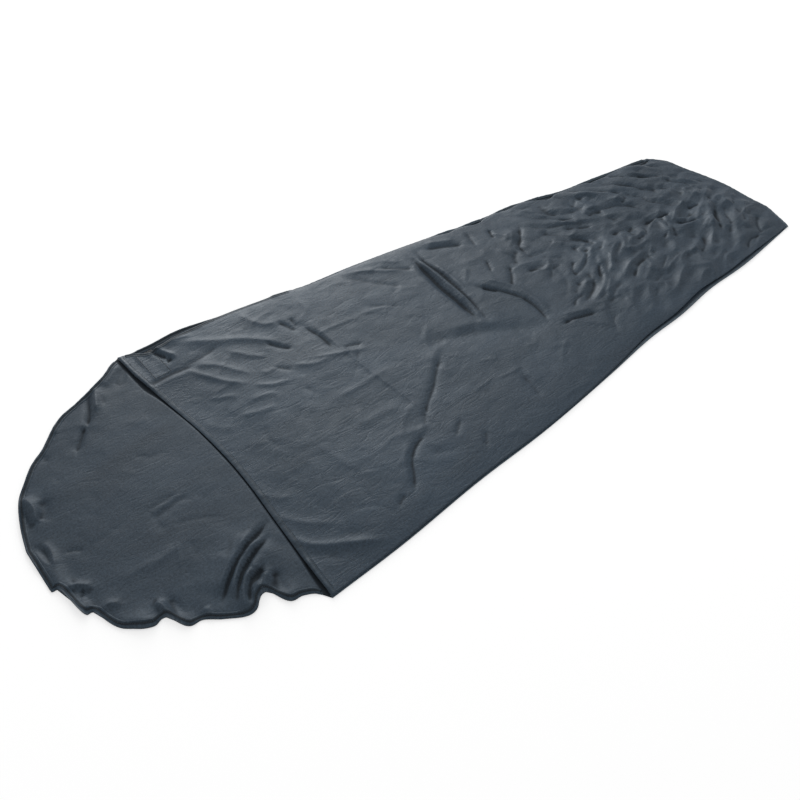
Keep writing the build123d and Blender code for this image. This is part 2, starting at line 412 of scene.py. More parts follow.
# The slit's loose edge, which stands open beside the patch.
SLIT_FOLDS = creases(
    (3.5, 10, -655, 392, -620, 397, -570, 398, -520, 388), (4.0, 9, -300, 396, -260, 394, -225, 386),
    (-5.5, 5, -636, 412, -627, 385, -613, 352), (5.0, 8, -622, 408, -609, 375, -595, 345),
    (-4.5, 6, -610, 352, -617, 338), (-3.5, 8, -700, 297, -670, 299, -630, 299, -575, 288),
    (2.4, 10, -690, 285, -640, 283, -590, 275), (4.5, 9, -703, 445, -702, 400, -697, 340, -690, 260),
    (4.5, 10, -692, -320, -700, -370, -703, -430),
)

# Long creases across the middle, with the soft hollow beside them.
MIDDLE_FOLDS = creases(
    (-4.0, 8, -290, -212, -250, -170, -190, -125, -150, -90, -100, -50),
    (2.4, 16, -150, -70, -100, -35, 0, -10), (-10.0, 7, 0.3, 98, 290, 87, 220, 76, 150, 70, 80, 60, -10),
    (6.0, 7, 106, 290, 100, 200, 93, 100, 82, 0),
    (-6.5, 6, 126, 310, 113, 255, 113, 200, 105, 130, 90, 40, 75, -30),
    (2.6, 7, 60, 215, 52, 130, 50, 80), (3.0, 9, 125, 240, 122, 160, 115, 100),
    (-3.5, 13, -100, 345, -50, 272, 0, 212), (4.0, 10, -85, 352, -30, 322, 45, 262),
    (-3.2, 8, 0, 315, 35, 285, 75, 250), (2.4, 9, 20, 340, 60, 300),
    (-2.0, 8, -130, 205, -90, 180, -55, 150), (2.0, 8, -160, 190, -100, 175, -70, 155),
    (-5.5, 6, 135, 105, 178, 45, 200, 0, 208, -40, 202, -90, 187, -130),
    (3.6, 9, 165, 115, 200, 70, 222, 20, 226, -50, 215, -100), (-4.0, 6, 152, 78, 176, 38),
    (-4.5, 8, 215, 28, 250, 65, 282, 105), (-3.2, 5, 220, 110, 247, 160), (2.0, 6, 140, 125, 178, 165),
    (-6.0, 5, 205, -160, 240, -161, 270, -170, 312, -183), (3.2, 8, 230, -135, 270, -148, 310, -165),
    (2.2, 7, 215, -130, 250, -180, 300, -240),
    (-7.0, 36, -140, 0, -40, -20, 40, -60, 120, -105, 200, -140), (2.6, 18, -50, 10, 30, -12, 110, -60),
    (1.6, 4, -140, -200, -100, -196, -65, -191), (1.8, 4, -60, -198, -20, -206, 15, -205),
    (-2.6, 9, -5, -225, -12, -270, -25, -310), (1.6, 8, 10, -225, 8, -270),
    (-5.0, 9, 150, 308, 200, 285, 255, 252), (3.6, 9, 170, 325, 215, 302, 250, 285),
    (-4.0, 8, 298, 300, 285, 260, 272, 228), (-3.6, 6, 357, 268, 338, 225),
    (2.5, 14, 290, 200, 240, 180, 180, 190), (-6.0, 9, 435, 225, 400, 182, 365, 150, 354, 105),
    (4.0, 11, 400, 215, 370, 185, 335, 160), (-4.0, 11, 345, 142, 315, 120, 298, 92),
    (-3.2, 9, 300, 60, 330, 40, 345, 12), (-2.6, 8, 375, 85, 400, 50, 430, 40),
    (-3.6, 6, 280, -130, 310, -112, 345, -108),
)

# Crumples over the feet: slanting ridges on the near half, broad puckers on the far half.
FOOT_FOLDS = creases(
    (6.2, 10, 330, -150, 390, -128, 440, -95, 475, -45, 505, -12),
    (-5.0, 10, 310, -135, 360, -118, 400, -90, 420, -40),
    (7.5, 11, 460, -138, 520, -106, 570, -92, 625, -83), (-5.6, 8, 490, -150, 550, -118, 600, -108),
    (6.2, 11, 570, -70, 600, -40, 650, -22), (-4.5, 7, 430, -88, 455, -60, 475, -50),
    (-5.0, 8, 385, -45, 400, -15, 430, 10), (4.5, 6, 590, -182, 630, -168, 675, -156),
    (-4.5, 12, 500, -200, 560, -185, 600, -160, 660, -130),
    (6.2, 10, 705, -105, 735, -70, 755, -30, 762, -10), (-4.5, 10, 735, -105, 760, -65, 785, -35),
    (6.2, 10, 705, -172, 750, -155, 795, -140), (-5.0, 11, 720, -190, 770, -170, 810, -130),
    (8.1, 11, -0.2, 850, -142, 895, -95, 935, -58, 965, -35), (-7.5, 10, 865, -155, 910, -108, 950, -70),
    (-6.2, 10, 940, -235, 980, -195, 1020, -172), (4.5, 12, 930, -200, 965, -175, 1000, -155),
    (-3.8, 11, 980, -130, 1000, -100, 1030, -80), (-7.5, 6, 720, 3, 770, -1, 800, -6, 825, -3),
    (4.5, 10, 730, 20, 780, 18, 820, 12), (-7.5, 6, 795, -52, 825, -68, 860, -82),
    (5.0, 7, 800, -40, 835, -53, 865, -65), (-4.5, 7, 885, -22, 925, -32),
    (6.9, 14, 885, 262, 920, 205, 960, 150, 1000, 98, 1045, 45), (-6.9, 11, 910, 200, 945, 168, 975, 140),
    (-6.2, 12, 985, 135, 1020, 85, 1060, 30), (-6.9, 10, 515, 135, 555, 112, 600, 85),
    (5.0, 16, 530, 155, 580, 130, 630, 112, 700, 85), (5.0, 14, 480, 290, 510, 250, 535, 200),
    (-4.5, 14, 565, 275, 550, 230, 570, 190), (5.0, 11, 620, 145, 650, 158, 685, 150),
    (-4.0, 8, 620, 130, 655, 135, 680, 120), (5.6, 17, 680, 250, 720, 210, 760, 185, 800, 175),
    (5.0, 11, 740, 130, 770, 145, 810, 150), (-4.0, 8, 750, 115, 790, 130),
    (4.5, 13, 840, 240, 860, 200, 850, 160), (4.0, 13, 870, 140, 900, 100, 905, 50),
    (4.0, 11, 830, 100, 850, 70, 880, 50), (5.6, 13, 935, 45, 955, 15, 965, -5),
    (-4.5, 13, 480, 60, 475, 30, 500, 10), (-3.2, 13, 530, 60, 520, 20, 540, -10),
    (3.2, 12, 450, 110, 470, 80), (4.0, 11, 660, -200, 680, -225, 710, -240),
    (4.0, 12, 640, 60, 680, 50, 730, 60), (-3.2, 11, 600, 20, 650, 10, 690, -10),
)

# The hood: three deep folds by its near corner, two at its far shoulder, and curled places at its hem.
HOOD_FOLDS = creases(
    (7.0, 42, -850, -320, -800, -280, -720, -240), (4.0, 36, -800, 370, -830, 310, -880, 250),
    (-8.1, 7, -865, -312, -835, -285, -800, -258, -760, -235, -700, -208),
    (6.9, 9, -875, -300, -835, -268, -790, -237, -730, -205),
    (-10.1, 7, -838, -322, -805, -286, -770, -262, -720, -240),
    (6.9, 6, -845, -315, -815, -279, -780, -252, -730, -230),
    (-14.0, 8, -822, -362, -812, -335, -797, -312, -765, -294),
    (12.1, 8, -845, -362, -832, -335, -812, -306, -780, -284),
    (12.1, 9, -797, -345, -785, -325, -765, -312), (-7.3, 10, -765, -385, -762, -345, -750, -310),
    (-10.1, 7, -803, 378, -822, 345, -838, 305, -860, 262), (6.1, 9, -790, 375, -806, 335, -825, 290),
    (-7.3, 6, -862, 272, -885, 242, -912, 207), (-8.1, 9, -703, 405, -722, 375, -748, 340),
    (6.1, 9, -715, 415, -745, 385, -780, 365), (-2.0, 7, -800, 355, -795, 330, -800, 300),
    (-1.4, 5, -870, -33, -840, -30, -800, -30), (-1.8, 8, -875, -62, -840, -52, -780, -46),
    (1.2, 6, -870, -47, -830, -40, -790, -38), (-2.0, 5, -1042, -24, -1025, -30, -1010, -42),
    (1.4, 9, -995, -165, -960, -150, -900, -155, -860, -150),
    (1.0, 4, -888, -205, -875, -170, -862, -135), (10.1, 11, -1055, 165, -1045, 120, -1055, 75),
    (-8.1, 7, -1075, 130, -1070, 100, -1078, 70), (-7.3, 10, -1020, 130, -1030, 100, -1050, 80),
    (-6.1, 6, -975, 245, -970, 225), (-8.1, 7, -1085, 30, -1075, 0, -1082, -45),
    (5.2, 9, -1070, 30, -1062, 0, -1070, -50), (-9.2, 7, -1083, -125, -1068, -125, -1050, -135),
    (6.9, 8, -1075, -105, -1055, -110, -1035, -130), (10.1, 9, -965, -285, -955, -255, -965, -235),
    (-9.2, 7, -940, -315, -935, -275, -937, -240), (-6.1, 7, -985, -275, -980, -250),
    (6.1, 9, -900, -335, -895, -300), (4.8, 9, -915, 320, -925, 290),
    (5.6, 9, -1050, -190, -1030, -185, -1010, -200),
)


def scattered_folds(seed: int, count: int, zone: tuple[float, float, float, float], turn: Point,
                    length: Point, height: Point, width: Point) -> list[Fold]:
    """Scatters small folds over a zone of cloth.

    Args:
        seed: The random seed.
        count: How many folds.
        zone: Lowest and highest X, then lowest and highest Y.
        turn: The folds' direction from X in degrees, and how far it strays either way.
        length: Shortest and longest, in metres.
        height: Lowest and highest, in millimetres; some sink instead.
        width: Narrowest and widest, in millimetres.

    Returns:
        The folds.
    """
    rng = random.Random(seed)
    folds = []
    for _ in range(count):
        x, y = rng.uniform(zone[0], zone[1]), rng.uniform(zone[2], zone[3])
        half = rng.uniform(*length) / 2
        angle = math.radians(turn[0] + rng.uniform(-turn[1], turn[1]))
        bend = rng.uniform(-0.5, 0.5)
        turned = [(side * half, angle + side * bend) for side in (-1, 1)]
        ends = [(x + r * math.cos(a), y + r * math.sin(a)) for r, a in turned]
        rise = rng.uniform(*height) * (1 if rng.random() < 0.55 else -1)
        folds.append(Fold((ends[0], (x, y), ends[1]), rise, rng.uniform(*width), rng.uniform(-0.3, 0.3)))
    return folds


# ---- Finishes ------------------------------------------------------------------------------------


class Nodes:
    """Adds nodes to a shader or geometry tree and links them."""

    def __init__(self, tree: bpy.types.NodeTree) -> None:
        """Starts on an empty tree."""
        self.tree = tree
        tree.nodes.clear()

    def add(self, kind: str, inputs: dict | None = None, **settings) -> bpy.types.Node:
        """Adds one node.

        Args:
            kind: The node's type.
            inputs: Each input by name or number, with a value, or a socket to link from.
            **settings: The node's own settings.

        Returns:
            The node.
        """
        node = self.tree.nodes.new(kind)
        for name, value in settings.items():
            setattr(node, name, value)
        for key, value in (inputs or {}).items():
            if isinstance(value, Socket):
                self.tree.links.new(value, node.inputs[key])
            else:
                node.inputs[key].default_value = value
        return node

    def math(self, operation: str, a: object, b: object = 0.0) -> Socket:
        """Adds a math node and returns its output."""
        return self.add("ShaderNodeMath", {0: a, 1: b}, operation=operation).outputs[0]

    def noise(self, vector: Socket, scale: float, detail: float = 2.0, rough: float = 0.5, warp: float = 0.0
              ) -> Socket:
        """Adds a noise texture and returns its value, about 0.5 on average."""
        inputs = {"Vector": vector, "Scale": scale, "Detail": detail, "Roughness": rough, "Distortion": warp}
        return self.add("ShaderNodeTexNoise", inputs).outputs[0]

    def spread(self, value: Socket, low: float, high: float, out_low: float, out_high: float) -> Socket:
        """Maps a value from one range to another, clamped, and returns it."""
        inputs = {0: value, 1: low, 2: high, 3: out_low, 4: out_high}
        return self.add("ShaderNodeMapRange", inputs).outputs[0]

    def wave(self, vector: Socket, scale: float, warp: float, direction: str, **inputs) -> Socket:
        """Adds a wave texture and returns its value."""
        given = {"Vector": vector, "Scale": scale, "Distortion": warp}
        given.update({name.replace("_", " ").title(): value for name, value in inputs.items()})
        return self.add("ShaderNodeTexWave", given, bands_direction=direction).outputs[1]

    def bump(self, strength: float, distance: float, height: Socket, under: Socket | None = None, **settings
             ) -> Socket:
        """Adds a bump, over another one if it is given, and returns the normal."""
        inputs = {"Strength": strength, "Distance": distance, "Height": height}
        if under is not None:
            inputs["Normal"] = under
        return self.add("ShaderNodeBump", inputs, **settings).outputs[0]

    def surface(self, **inputs) -> None:
        """Ends a material in one surface, with inputs named as its sockets are, with _ for a space."""
        given = {name.replace("_", " "): value for name, value in inputs.items()}
        shader = self.add("ShaderNodeBsdfPrincipled", given)
        self.add("ShaderNodeOutputMaterial", {0: shader.outputs[0]})

    def mix(self, share: object, a: object, b: object) -> Socket:
        """Mixes two colours and returns the result."""
        return self.add("ShaderNodeMix", {0: share, 6: a, 7: b}, data_type="RGBA").outputs[2]


def start_material(name: str) -> tuple[Material, Nodes]:
    """Starts a node material.

    Args:
        name: The material's name.

    Returns:
        The material, and its nodes.
    """
    material = bpy.data.materials.new(name)
    material.use_nodes = True
    return material, Nodes(material.node_tree)


def rgba(colour: Sequence[float], gain: float = 1.0) -> tuple[float, float, float, float]:
    """Makes a shader colour, brighter or darker by a gain."""
    return (colour[0] * gain, colour[1] * gain, colour[2] * gain, 1.0)


@dataclass(frozen=True)
class ClothFinish:
    """A thin, tightly woven cloth with a silky face.

    Attributes:
        name: The material's name.
        colour: Its colour, in linear light.
        roughness: Its lowest and highest roughness, from rubbed places to fresh ones.
        sheen: How much soft light its fibres catch at a slant.
        specular: Its specular level.
        crumple: How strong the small creases are.
        weave: How strong the weave is.
        threads: Threads to the metre.
        painted_shade: How dark the painted shade makes the cloth deep in a crease, as a share of its colour.
    """

    name: str
    colour: tuple[float, float, float]
    roughness: tuple[float, float] = (0.34, 0.5)
    sheen: float = 0.3
    specular: float = 0.5
    crumple: float = 0.5
    weave: float = 0.1
    threads: float = 1400.0
    painted_shade: float = 0.25

    def material(self) -> Material:
        """Builds the material: cloudy colour, painted crease shade, fine creases, and a plain weave of warp and
        weft.

        Returns:
            The material.
        """
        material, n = start_material(self.name)
        uv = n.add("ShaderNodeUVMap", uv_map="Cut").outputs[0]
        stretched = n.add("ShaderNodeMapping", {0: uv, 3: (0.35, 1.0, 1.0)}).outputs[0]
        cloud = n.noise(stretched, 9.0, 3.0, 0.55, 0.6)
        speck = n.noise(uv, 210.0, 3.0, 0.8)
        shade = n.math("ADD", n.spread(cloud, 0.3, 0.7, 0.0, 0.35), n.spread(speck, 0.38, 0.62, 0.0, 0.65))
        fresh = n.mix(shade, rgba(self.colour, 0.56), rgba(self.colour, 1.46))
        # Painted shade: the crease-shade attribute darkens the colour towards a share of it in creases and
        # gaps.
        painted_shade = n.add("ShaderNodeAttribute", attribute_name="PaintedShade").outputs["Fac"]
        base = n.mix(n.spread(painted_shade, 0.1, 1.0, 0.0, 1.0), fresh, rgba(self.colour, self.painted_shade))
        worn = n.noise(uv, 23.0, 4.0, 0.6, 0.3)
        rubbed = n.spread(worn, 0.3, 0.7, *self.roughness)
        rough = n.math("ADD", rubbed, n.spread(painted_shade, 0.1, 1.0, 0.0, 0.3))
        warp, weft = (n.wave(uv, self.threads / 20, 0.3, way, detail_scale=40.0) for way in "XY")
        threads = n.math("MAXIMUM", warp, weft)
        creased = n.noise(stretched, 38.0, 5.0, 0.62, 1.4)
        ridges = n.math("ABSOLUTE", n.math("SUBTRACT", creased, 0.5))
        puckers = n.noise(uv, 120.0, 3.0, 0.5, 0.5)
        fine = n.bump(self.weave, 0.0002, threads)
        soft = n.bump(self.crumple * 0.5, 0.001, puckers, fine)
        bump = n.bump(self.crumple, 0.006, ridges, soft, invert=True)
        n.surface(Base_Color=base, Roughness=rough, Sheen_Weight=self.sheen, Sheen_Roughness=0.35,
                  Sheen_Tint=rgba(self.colour, 5.0), Specular_IOR_Level=self.specular,
                  Specular_Tint=(0.82, 0.92, 1.0, 1.0), Normal=bump)
        return material


@dataclass(frozen=True)
class TapeFinish:
    """Woven nylon tape with a pile of hooks or loops.

    Attributes:
        name: The material's name.
        colour: Its colour, in linear light.
        fuzz: How rough the pile looks.
    """

    name: str
    colour: tuple[float, float, float]
    fuzz: float = 0.5

    def material(self) -> Material:
        """Builds the material: a ribbed tape, painted darker between its ribs, with random tone from its pile.

        Returns:
            The material.
        """
        material, n = start_material(self.name)
        place = n.add("ShaderNodeTexCoord").outputs["Object"]
        ribs = n.wave(place, 120.0, 0.6, "Y")
        pile = n.noise(place, 900.0, 3.0, 0.6)
        # Painted shade and light: darker between the ribs, lighter on their tops; the pile adds random tone.
        shade = n.math("MULTIPLY", ribs, pile)
        base = n.mix(shade, rgba(self.colour, 0.6), rgba(self.colour, 1.5))
        bump = n.bump(self.fuzz, 0.0005, shade)
        rough = n.spread(pile, 0.3, 0.7, 0.6, 0.85)
        n.surface(Base_Color=base, Roughness=rough, Sheen_Weight=0.4, Sheen_Roughness=0.5, Normal=bump)
        return material


@dataclass(frozen=True)
class ThreadFinish:
    """Twisted sewing thread.

    Attributes:
        name: The material's name.
        colour: Its colour, in linear light.
    """

    name: str
    colour: tuple[float, float, float]

    def material(self) -> Material:
        """Builds the material: two plies that catch the light in turn.

        Returns:
            The material.
        """
        material, n = start_material(self.name)
        place = n.add("ShaderNodeTexCoord").outputs["Object"]
        ply = n.wave(place, 700.0, 1.0, "DIAGONAL")
        base = n.mix(ply, rgba(self.colour, 0.75), rgba(self.colour, 1.3))
        bump = n.bump(0.4, 0.0001, ply)
        rough = n.spread(n.noise(place, 200.0), 0.3, 0.7, 0.42, 0.6)
        n.surface(Base_Color=base, Roughness=rough, Sheen_Weight=0.2, Normal=bump)
        return material


FRONT_CLOTH = ClothFinish("silky_front_cloth", (0.036, 0.057, 0.083), (0.40, 0.50), 0.05, 0.5, 0.4)
BACK_CLOTH = ClothFinish("dull_inner_cloth", (0.042, 0.061, 0.084), (0.46, 0.56), 0.05, 0.4, 0.3)
# Painted light: the rolled seams take a lighter copy of the same cloth.
LIT_SEAM_CLOTH = ClothFinish("lit_rolled_seam_cloth", (0.060, 0.090, 0.118), (0.42, 0.52), 0.1, 0.5, 0.5)
# Painted shade: the folded hems take a darker copy of the same cloth.
SHADED_HEM_CLOTH = ClothFinish("shaded_folded_hem_cloth", (0.031, 0.050, 0.072), (0.40, 0.50), 0.08, 0.45, 0.4)
HOOK_TAPE = TapeFinish("hook_tape", (0.035, 0.042, 0.05), 0.5)
LOOP_TAPE = TapeFinish("loop_tape", (0.045, 0.053, 0.062), 0.9)
THREAD = ThreadFinish("sewing_thread", (0.010, 0.013, 0.017))

# ---- The cloth -----------------------------------------------------------------------------------


def plain_mesh(name: str, vertices: Sequence, faces: Sequence) -> Mesh:
    """Makes a mesh from its points and its faces."""
    mesh = bpy.data.meshes.new(name)
    mesh.from_pydata(vertices, [], faces)
    return mesh


def square_mesh(name: str, half: float, height: float) -> Mesh:
    """Makes a level square round the origin."""
    corners = [(-half, -half, height), (half, -half, height), (half, half, height), (-half, half, height)]
    return plain_mesh(name, corners, [(0, 1, 2, 3)])


def linked(name: str, data: bpy.types.ID) -> Piece:
    """Makes an object of its data and links it into the scene."""
    thing = bpy.data.objects.new(name, data)
    bpy.context.scene.collection.objects.link(thing)
    return thing


def new_object(name: str, mesh: Mesh, finish: Material | None = None) -> Piece:
    """Links a mesh into the scene.

    Args:
        name: The piece's name.
        mesh: Its mesh.
        finish: Its material, if it has none yet.

    Returns:
        The object.
    """
    if finish is not None:
        mesh.materials.clear()
        mesh.materials.append(finish)
    return linked(name, mesh)


def fractal(plan: Array, scale: float, octaves: int, seed: float) -> Array:
    """Cloudy noise over a cloth.

    Args:
        plan: Points in plan, one row each, in metres.
        scale: Lumps to the metre.
        octaves: How many finer layers.
        seed: Which noise.

    Returns:
        A value from about -1 to 1 for each point.
    """
    return np.array([noise.fractal((x * scale, y * scale, seed), 1.0, 2.0, octaves) for x, y in plan])


def slanted(plan: Array, degrees: float, stretch: float) -> Array:
    """Turns a plan, and squeezes it along its new X, so that noise on it runs in one direction.

    Args:
        plan: Points in plan, one row each.
        degrees: The direction, from X.
        stretch: How much longer than wide the noise comes out.

    Returns:
        The points to read the noise at.
    """
    c, s = math.cos(math.radians(degrees)), math.sin(math.radians(degrees))
    return np.stack([(plan[:, 0] * c + plan[:, 1] * s) / stretch, plan[:, 1] * c - plan[:, 0] * s], axis=1)


def quads_of(index: Array) -> list[list[int]]:
    """Makes the faces between rows and columns of point numbers."""
    around = [index[:-1, :-1], index[1:, :-1], index[1:, 1:], index[:-1, 1:]]
    return np.stack(around, axis=2).reshape(-1, 4).tolist()


class ClothGrid:
    """A sheet of cloth as rows and columns of points, in plan and in height."""

    def __init__(self, start: Callable, end: Callable, near: Callable, far: Callable, rows: Array,
                 columns: int) -> None:
        """Spreads the points between four edges.

        Args:
            start: The first row's X, as a function of Y.
            end: The last row's X, as a function of Y.
            near: The near edge's Y, as a function of X.
            far: The far edge's Y, as a function of X.
            rows: Each row's place from 0 to 1.
            columns: How many points across.
        """
        across = np.linspace(0.0, 1.0, columns)
        share, side = np.meshgrid(rows, across, indexing="ij")
        x = start(np.zeros_like(share)) * (1 - share) + end(np.zeros_like(share)) * share
        for _ in range(12):
            y = near(x) * (1 - side) + far(x) * side
            x = 0.5 * x + 0.5 * (start(y) * (1 - share) + end(y) * share)
        y = near(x) * (1 - side) + far(x) * side
        self.points = np.stack([x, y, np.zeros_like(x)], axis=2)
        self.cut = np.stack([x, y], axis=2)
        self.side = side
        self.share = share
        # Painted shadow that a sheet's lay may set, from 0 to 1; it joins the painted crease shade.
        self.shade = np.zeros_like(x)

    @property
    def plan(self) -> Array:
        """Every point's place in plan, one row each."""
        return self.points[..., :2].reshape(-1, 2)

    @property
    def height(self) -> Array:
        """Every point's height."""
        return self.points[..., 2]

    @height.setter
    def height(self, value: Array) -> None:
        """Sets every point's height."""
        self.points[..., 2] = value

    def fold(self, folds: Sequence[Fold]) -> Array:
        """How far a set of folds lifts each point."""
        plan = self.plan
        lift = np.zeros(len(plan))
        for fold in folds:
            lift += fold.raise_by(plan)
        return lift.reshape(self.side.shape)

    def painted_shade(self, reach: int = 3, deep: float = 2.1 * MM) -> Array:
        """The painted shade on each point: how deep it lies in a crease, or its painted shadow if more.

        Args:
            reach: How many cells round a point it is measured against.
            deep: How far below them counts as fully deep.

        Returns:
            From 0 on open cloth to 1 deep in a crease or in full painted shadow.
        """
        n, m = self.side.shape
        padded = np.pad(self.height, reach, mode="edge")
        steps = range(2 * reach + 1)
        mean = sum(padded[i:i + n, j:j + m] for i in steps for j in steps) / len(steps) ** 2
        return np.maximum(np.clip((mean - self.height) / deep, 0.0, 1.0) ** 1.3, self.shade)

    def mesh(self, name: str, gap: float, coarse: int) -> Mesh:
        """Makes the sheet's mesh: a fine upper face, and a coarser lower one just beneath it.

        Args:
            name: The mesh's name.
            gap: The cloth's thickness.
            coarse: How many upper cells there are along one lower cell; it divides both counts of cells.

        Returns:
            The closed mesh, with its cut shape as a UV map.
        """
        n, m = self.side.shape
        lowest = self.height.copy()
        reach = coarse
        padded = np.pad(self.height, reach, mode="edge")
        for di in range(2 * reach + 1):
            for dj in range(2 * reach + 1):
                lowest = np.minimum(lowest, padded[di:di + n, dj:dj + m])
        under = self.points.copy()
        under[..., 2] = np.maximum(lowest - gap, 0.0)
        under = under[::coarse, ::coarse]
        p, q = under.shape[:2]
        vertices = np.concatenate([self.points.reshape(-1, 3), under.reshape(-1, 3)])
        cut = np.concatenate([self.cut.reshape(-1, 2), self.cut[::coarse, ::coarse].reshape(-1, 2)])
        top = np.arange(n * m).reshape(n, m)
        low = n * m + np.arange(p * q).reshape(p, q)
        faces = quads_of(top) + [[a, d, c, b] for a, b, c, d in quads_of(low)]
        rim_top, rim_low = (np.concatenate([g[0, :-1], g[:-1, -1], g[-1, :0:-1], g[:0:-1, 0]])
                            for g in (top, low))
        count = len(rim_low)
        for k in range(count):
            span = [int(rim_top[(k * coarse + i) % len(rim_top)]) for i in range(coarse + 1)]
            faces.append(span + [int(rim_low[(k + 1) % count]), int(rim_low[k])])
        mesh = plain_mesh(name, vertices.tolist(), faces)
        layer = mesh.uv_layers.new(name="Cut")
        loops = np.zeros(len(mesh.loops), dtype=np.int32)
        mesh.loops.foreach_get("vertex_index", loops)
        layer.uv.foreach_set("vector", cut[loops].astype(np.float32).ravel())
        # Painted shade for the material, on the upper face only.
        painted_shade_data = mesh.attributes.new("PaintedShade", "FLOAT", "POINT")
        deep = np.concatenate([self.painted_shade().ravel(), np.zeros(p * q)])
        painted_shade_data.data.foreach_set("value", deep.astype(np.float32))
        mesh.shade_smooth()
        mesh.update()
        return mesh


def finer(coarse_count: int, factor: int) -> Array:
    """Makes the matrix that reads a smooth curve at places between its points.

    Args:
        coarse_count: How many points the curve has.
        factor: How many steps to make of each of its steps.

    Returns:
        One row of weights for each new point.
    """
    places = np.arange((coarse_count - 1) * factor + 1) / factor
    matrix = np.zeros((len(places), coarse_count))
    first = np.minimum(places.astype(int), coarse_count - 2)
    t = places - first
    weights = (-0.5 * t + t**2 - 0.5 * t**3, 1 - 2.5 * t**2 + 1.5 * t**3,
               0.5 * t + 2 * t**2 - 1.5 * t**3, -0.5 * t**2 + 0.5 * t**3)
    for k, weight in enumerate(weights):
        np.add.at(matrix, (np.arange(len(places)), np.clip(first + k - 1, 0, coarse_count - 1)), weight)
    return matrix


@dataclass(frozen=True)
class Settling:
    """How a sheet is left to settle under its own weight.

    Attributes:
        frames: How long it settles.
        stride: How many fine cells make one cell of the settling cloth; it divides both counts.
        mass: The weight of one of its points, in kilograms.
        weight: How much of gravity it feels: cloth on a soft floor feels little.
        bending: How stiff it is against bending.
        tension: How stiff it is against stretching and bunching.
        limit: How far any point may move, in metres.
    """

    frames: int = 20
    stride: int = 6
    mass: float = 0.0001
    weight: float = 0.1
    bending: float = 0.3
    tension: float = 8.0
    limit: float = 0.008

    def run(self, grid: ClothGrid, spare: Array, held: Array, floor: float, share: Array) -> None:
        """Lets the sheet settle, and moves the grid's points to where it comes to rest.

        Args:
            grid: The laid sheet, which is changed.
            spare: How much longer the cloth is than its place, as a share, at each point.
            held: How firmly each point is held, from 0 to 1.
            floor: The height of what it lies on.
            share: How much of the settling each point takes up, from 0 to 1.
        """
        step = self.stride
        laid = grid.points[::step, ::step]
        n, m = laid.shape[:2]
        slack = spare[::step, ::step]
        quads = quads_of(np.arange(n * m).reshape(n, m))
        cloth = linked("settling_cloth", plain_mesh("settling_cloth", laid.reshape(-1, 3).tolist(), quads))
        cloth.shape_key_add(name="Basis")
        cut = cloth.shape_key_add(name="Cut")
        longer = laid.copy()
        runs = np.diff(laid[..., 0], axis=0) * (1 + 0.5 * (slack[1:] + slack[:-1]))
        longer[1:, :, 0] = laid[:1, :, 0] + np.cumsum(runs, axis=0)
        spans = np.diff(laid[..., 1], axis=1) * (1 + 0.5 * (slack[:, 1:] + slack[:, :-1]))
        longer[:, 1:, 1] = laid[:, :1, 1] + np.cumsum(spans, axis=1)
        cut.data.foreach_set("co", longer.astype(np.float32).ravel())
        pins = cloth.vertex_groups.new(name="held")
        for vertex, weight in enumerate(held[::step, ::step].ravel()):
            pins.add([vertex], float(weight), "REPLACE")
        modifier = cloth.modifiers.new("settle", "CLOTH")
        settings = {
            "quality": 6, "mass": self.mass, "tension_stiffness": self.tension,
            "compression_stiffness": self.tension, "shear_stiffness": self.tension * 0.3,
            "bending_stiffness": self.bending, "tension_damping": 1.0, "compression_damping": 1.0,
            "air_damping": 2.0, "vertex_group_mass": pins.name, "rest_shape_key": cut}
        for name, value in settings.items():
            setattr(modifier.settings, name, value)
        modifier.settings.effector_weights.gravity = self.weight
        modifier.collision_settings.distance_min = 0.001
        modifier.collision_settings.use_self_collision = False
        modifier.point_cache.frame_start, modifier.point_cache.frame_end = 1, self.frames
        ground = linked("settling_ground", square_mesh("settling_ground", 3.0, floor))
        ground.modifiers.new("ground", "COLLISION")
        ground.collision.thickness_outer = 0.001
        scene = bpy.context.scene
        for frame_number in range(1, self.frames + 1):
            scene.frame_set(frame_number)
        settled = cloth.evaluated_get(bpy.context.evaluated_depsgraph_get()).data
        found = np.zeros(n * m * 3, dtype=np.float32)
        settled.vertices.foreach_get("co", found)
        moved = np.clip(found.reshape(n, m, 3) - laid, -self.limit, self.limit)
        log.info("settling: %.1f mm at most, %.2f mm on average", 1000 * float(np.abs(moved).max()),
                 1000 * float(np.abs(moved[..., 2]).mean()))
        scene.frame_set(1)
        bpy.data.objects.remove(cloth)
        bpy.data.objects.remove(ground)
        along, across = finer(n, step), finer(m, step)
        grid.points = grid.points + np.einsum("ai,ijk,bj->abk", along, moved, across) * share[..., None]


def soft_floor(height: Array, floor: float, softness: float) -> Array:
    """Keeps a height above a floor, with a soft landing."""
    return floor + softness * np.logaddexp(0.0, (height - floor) / softness)


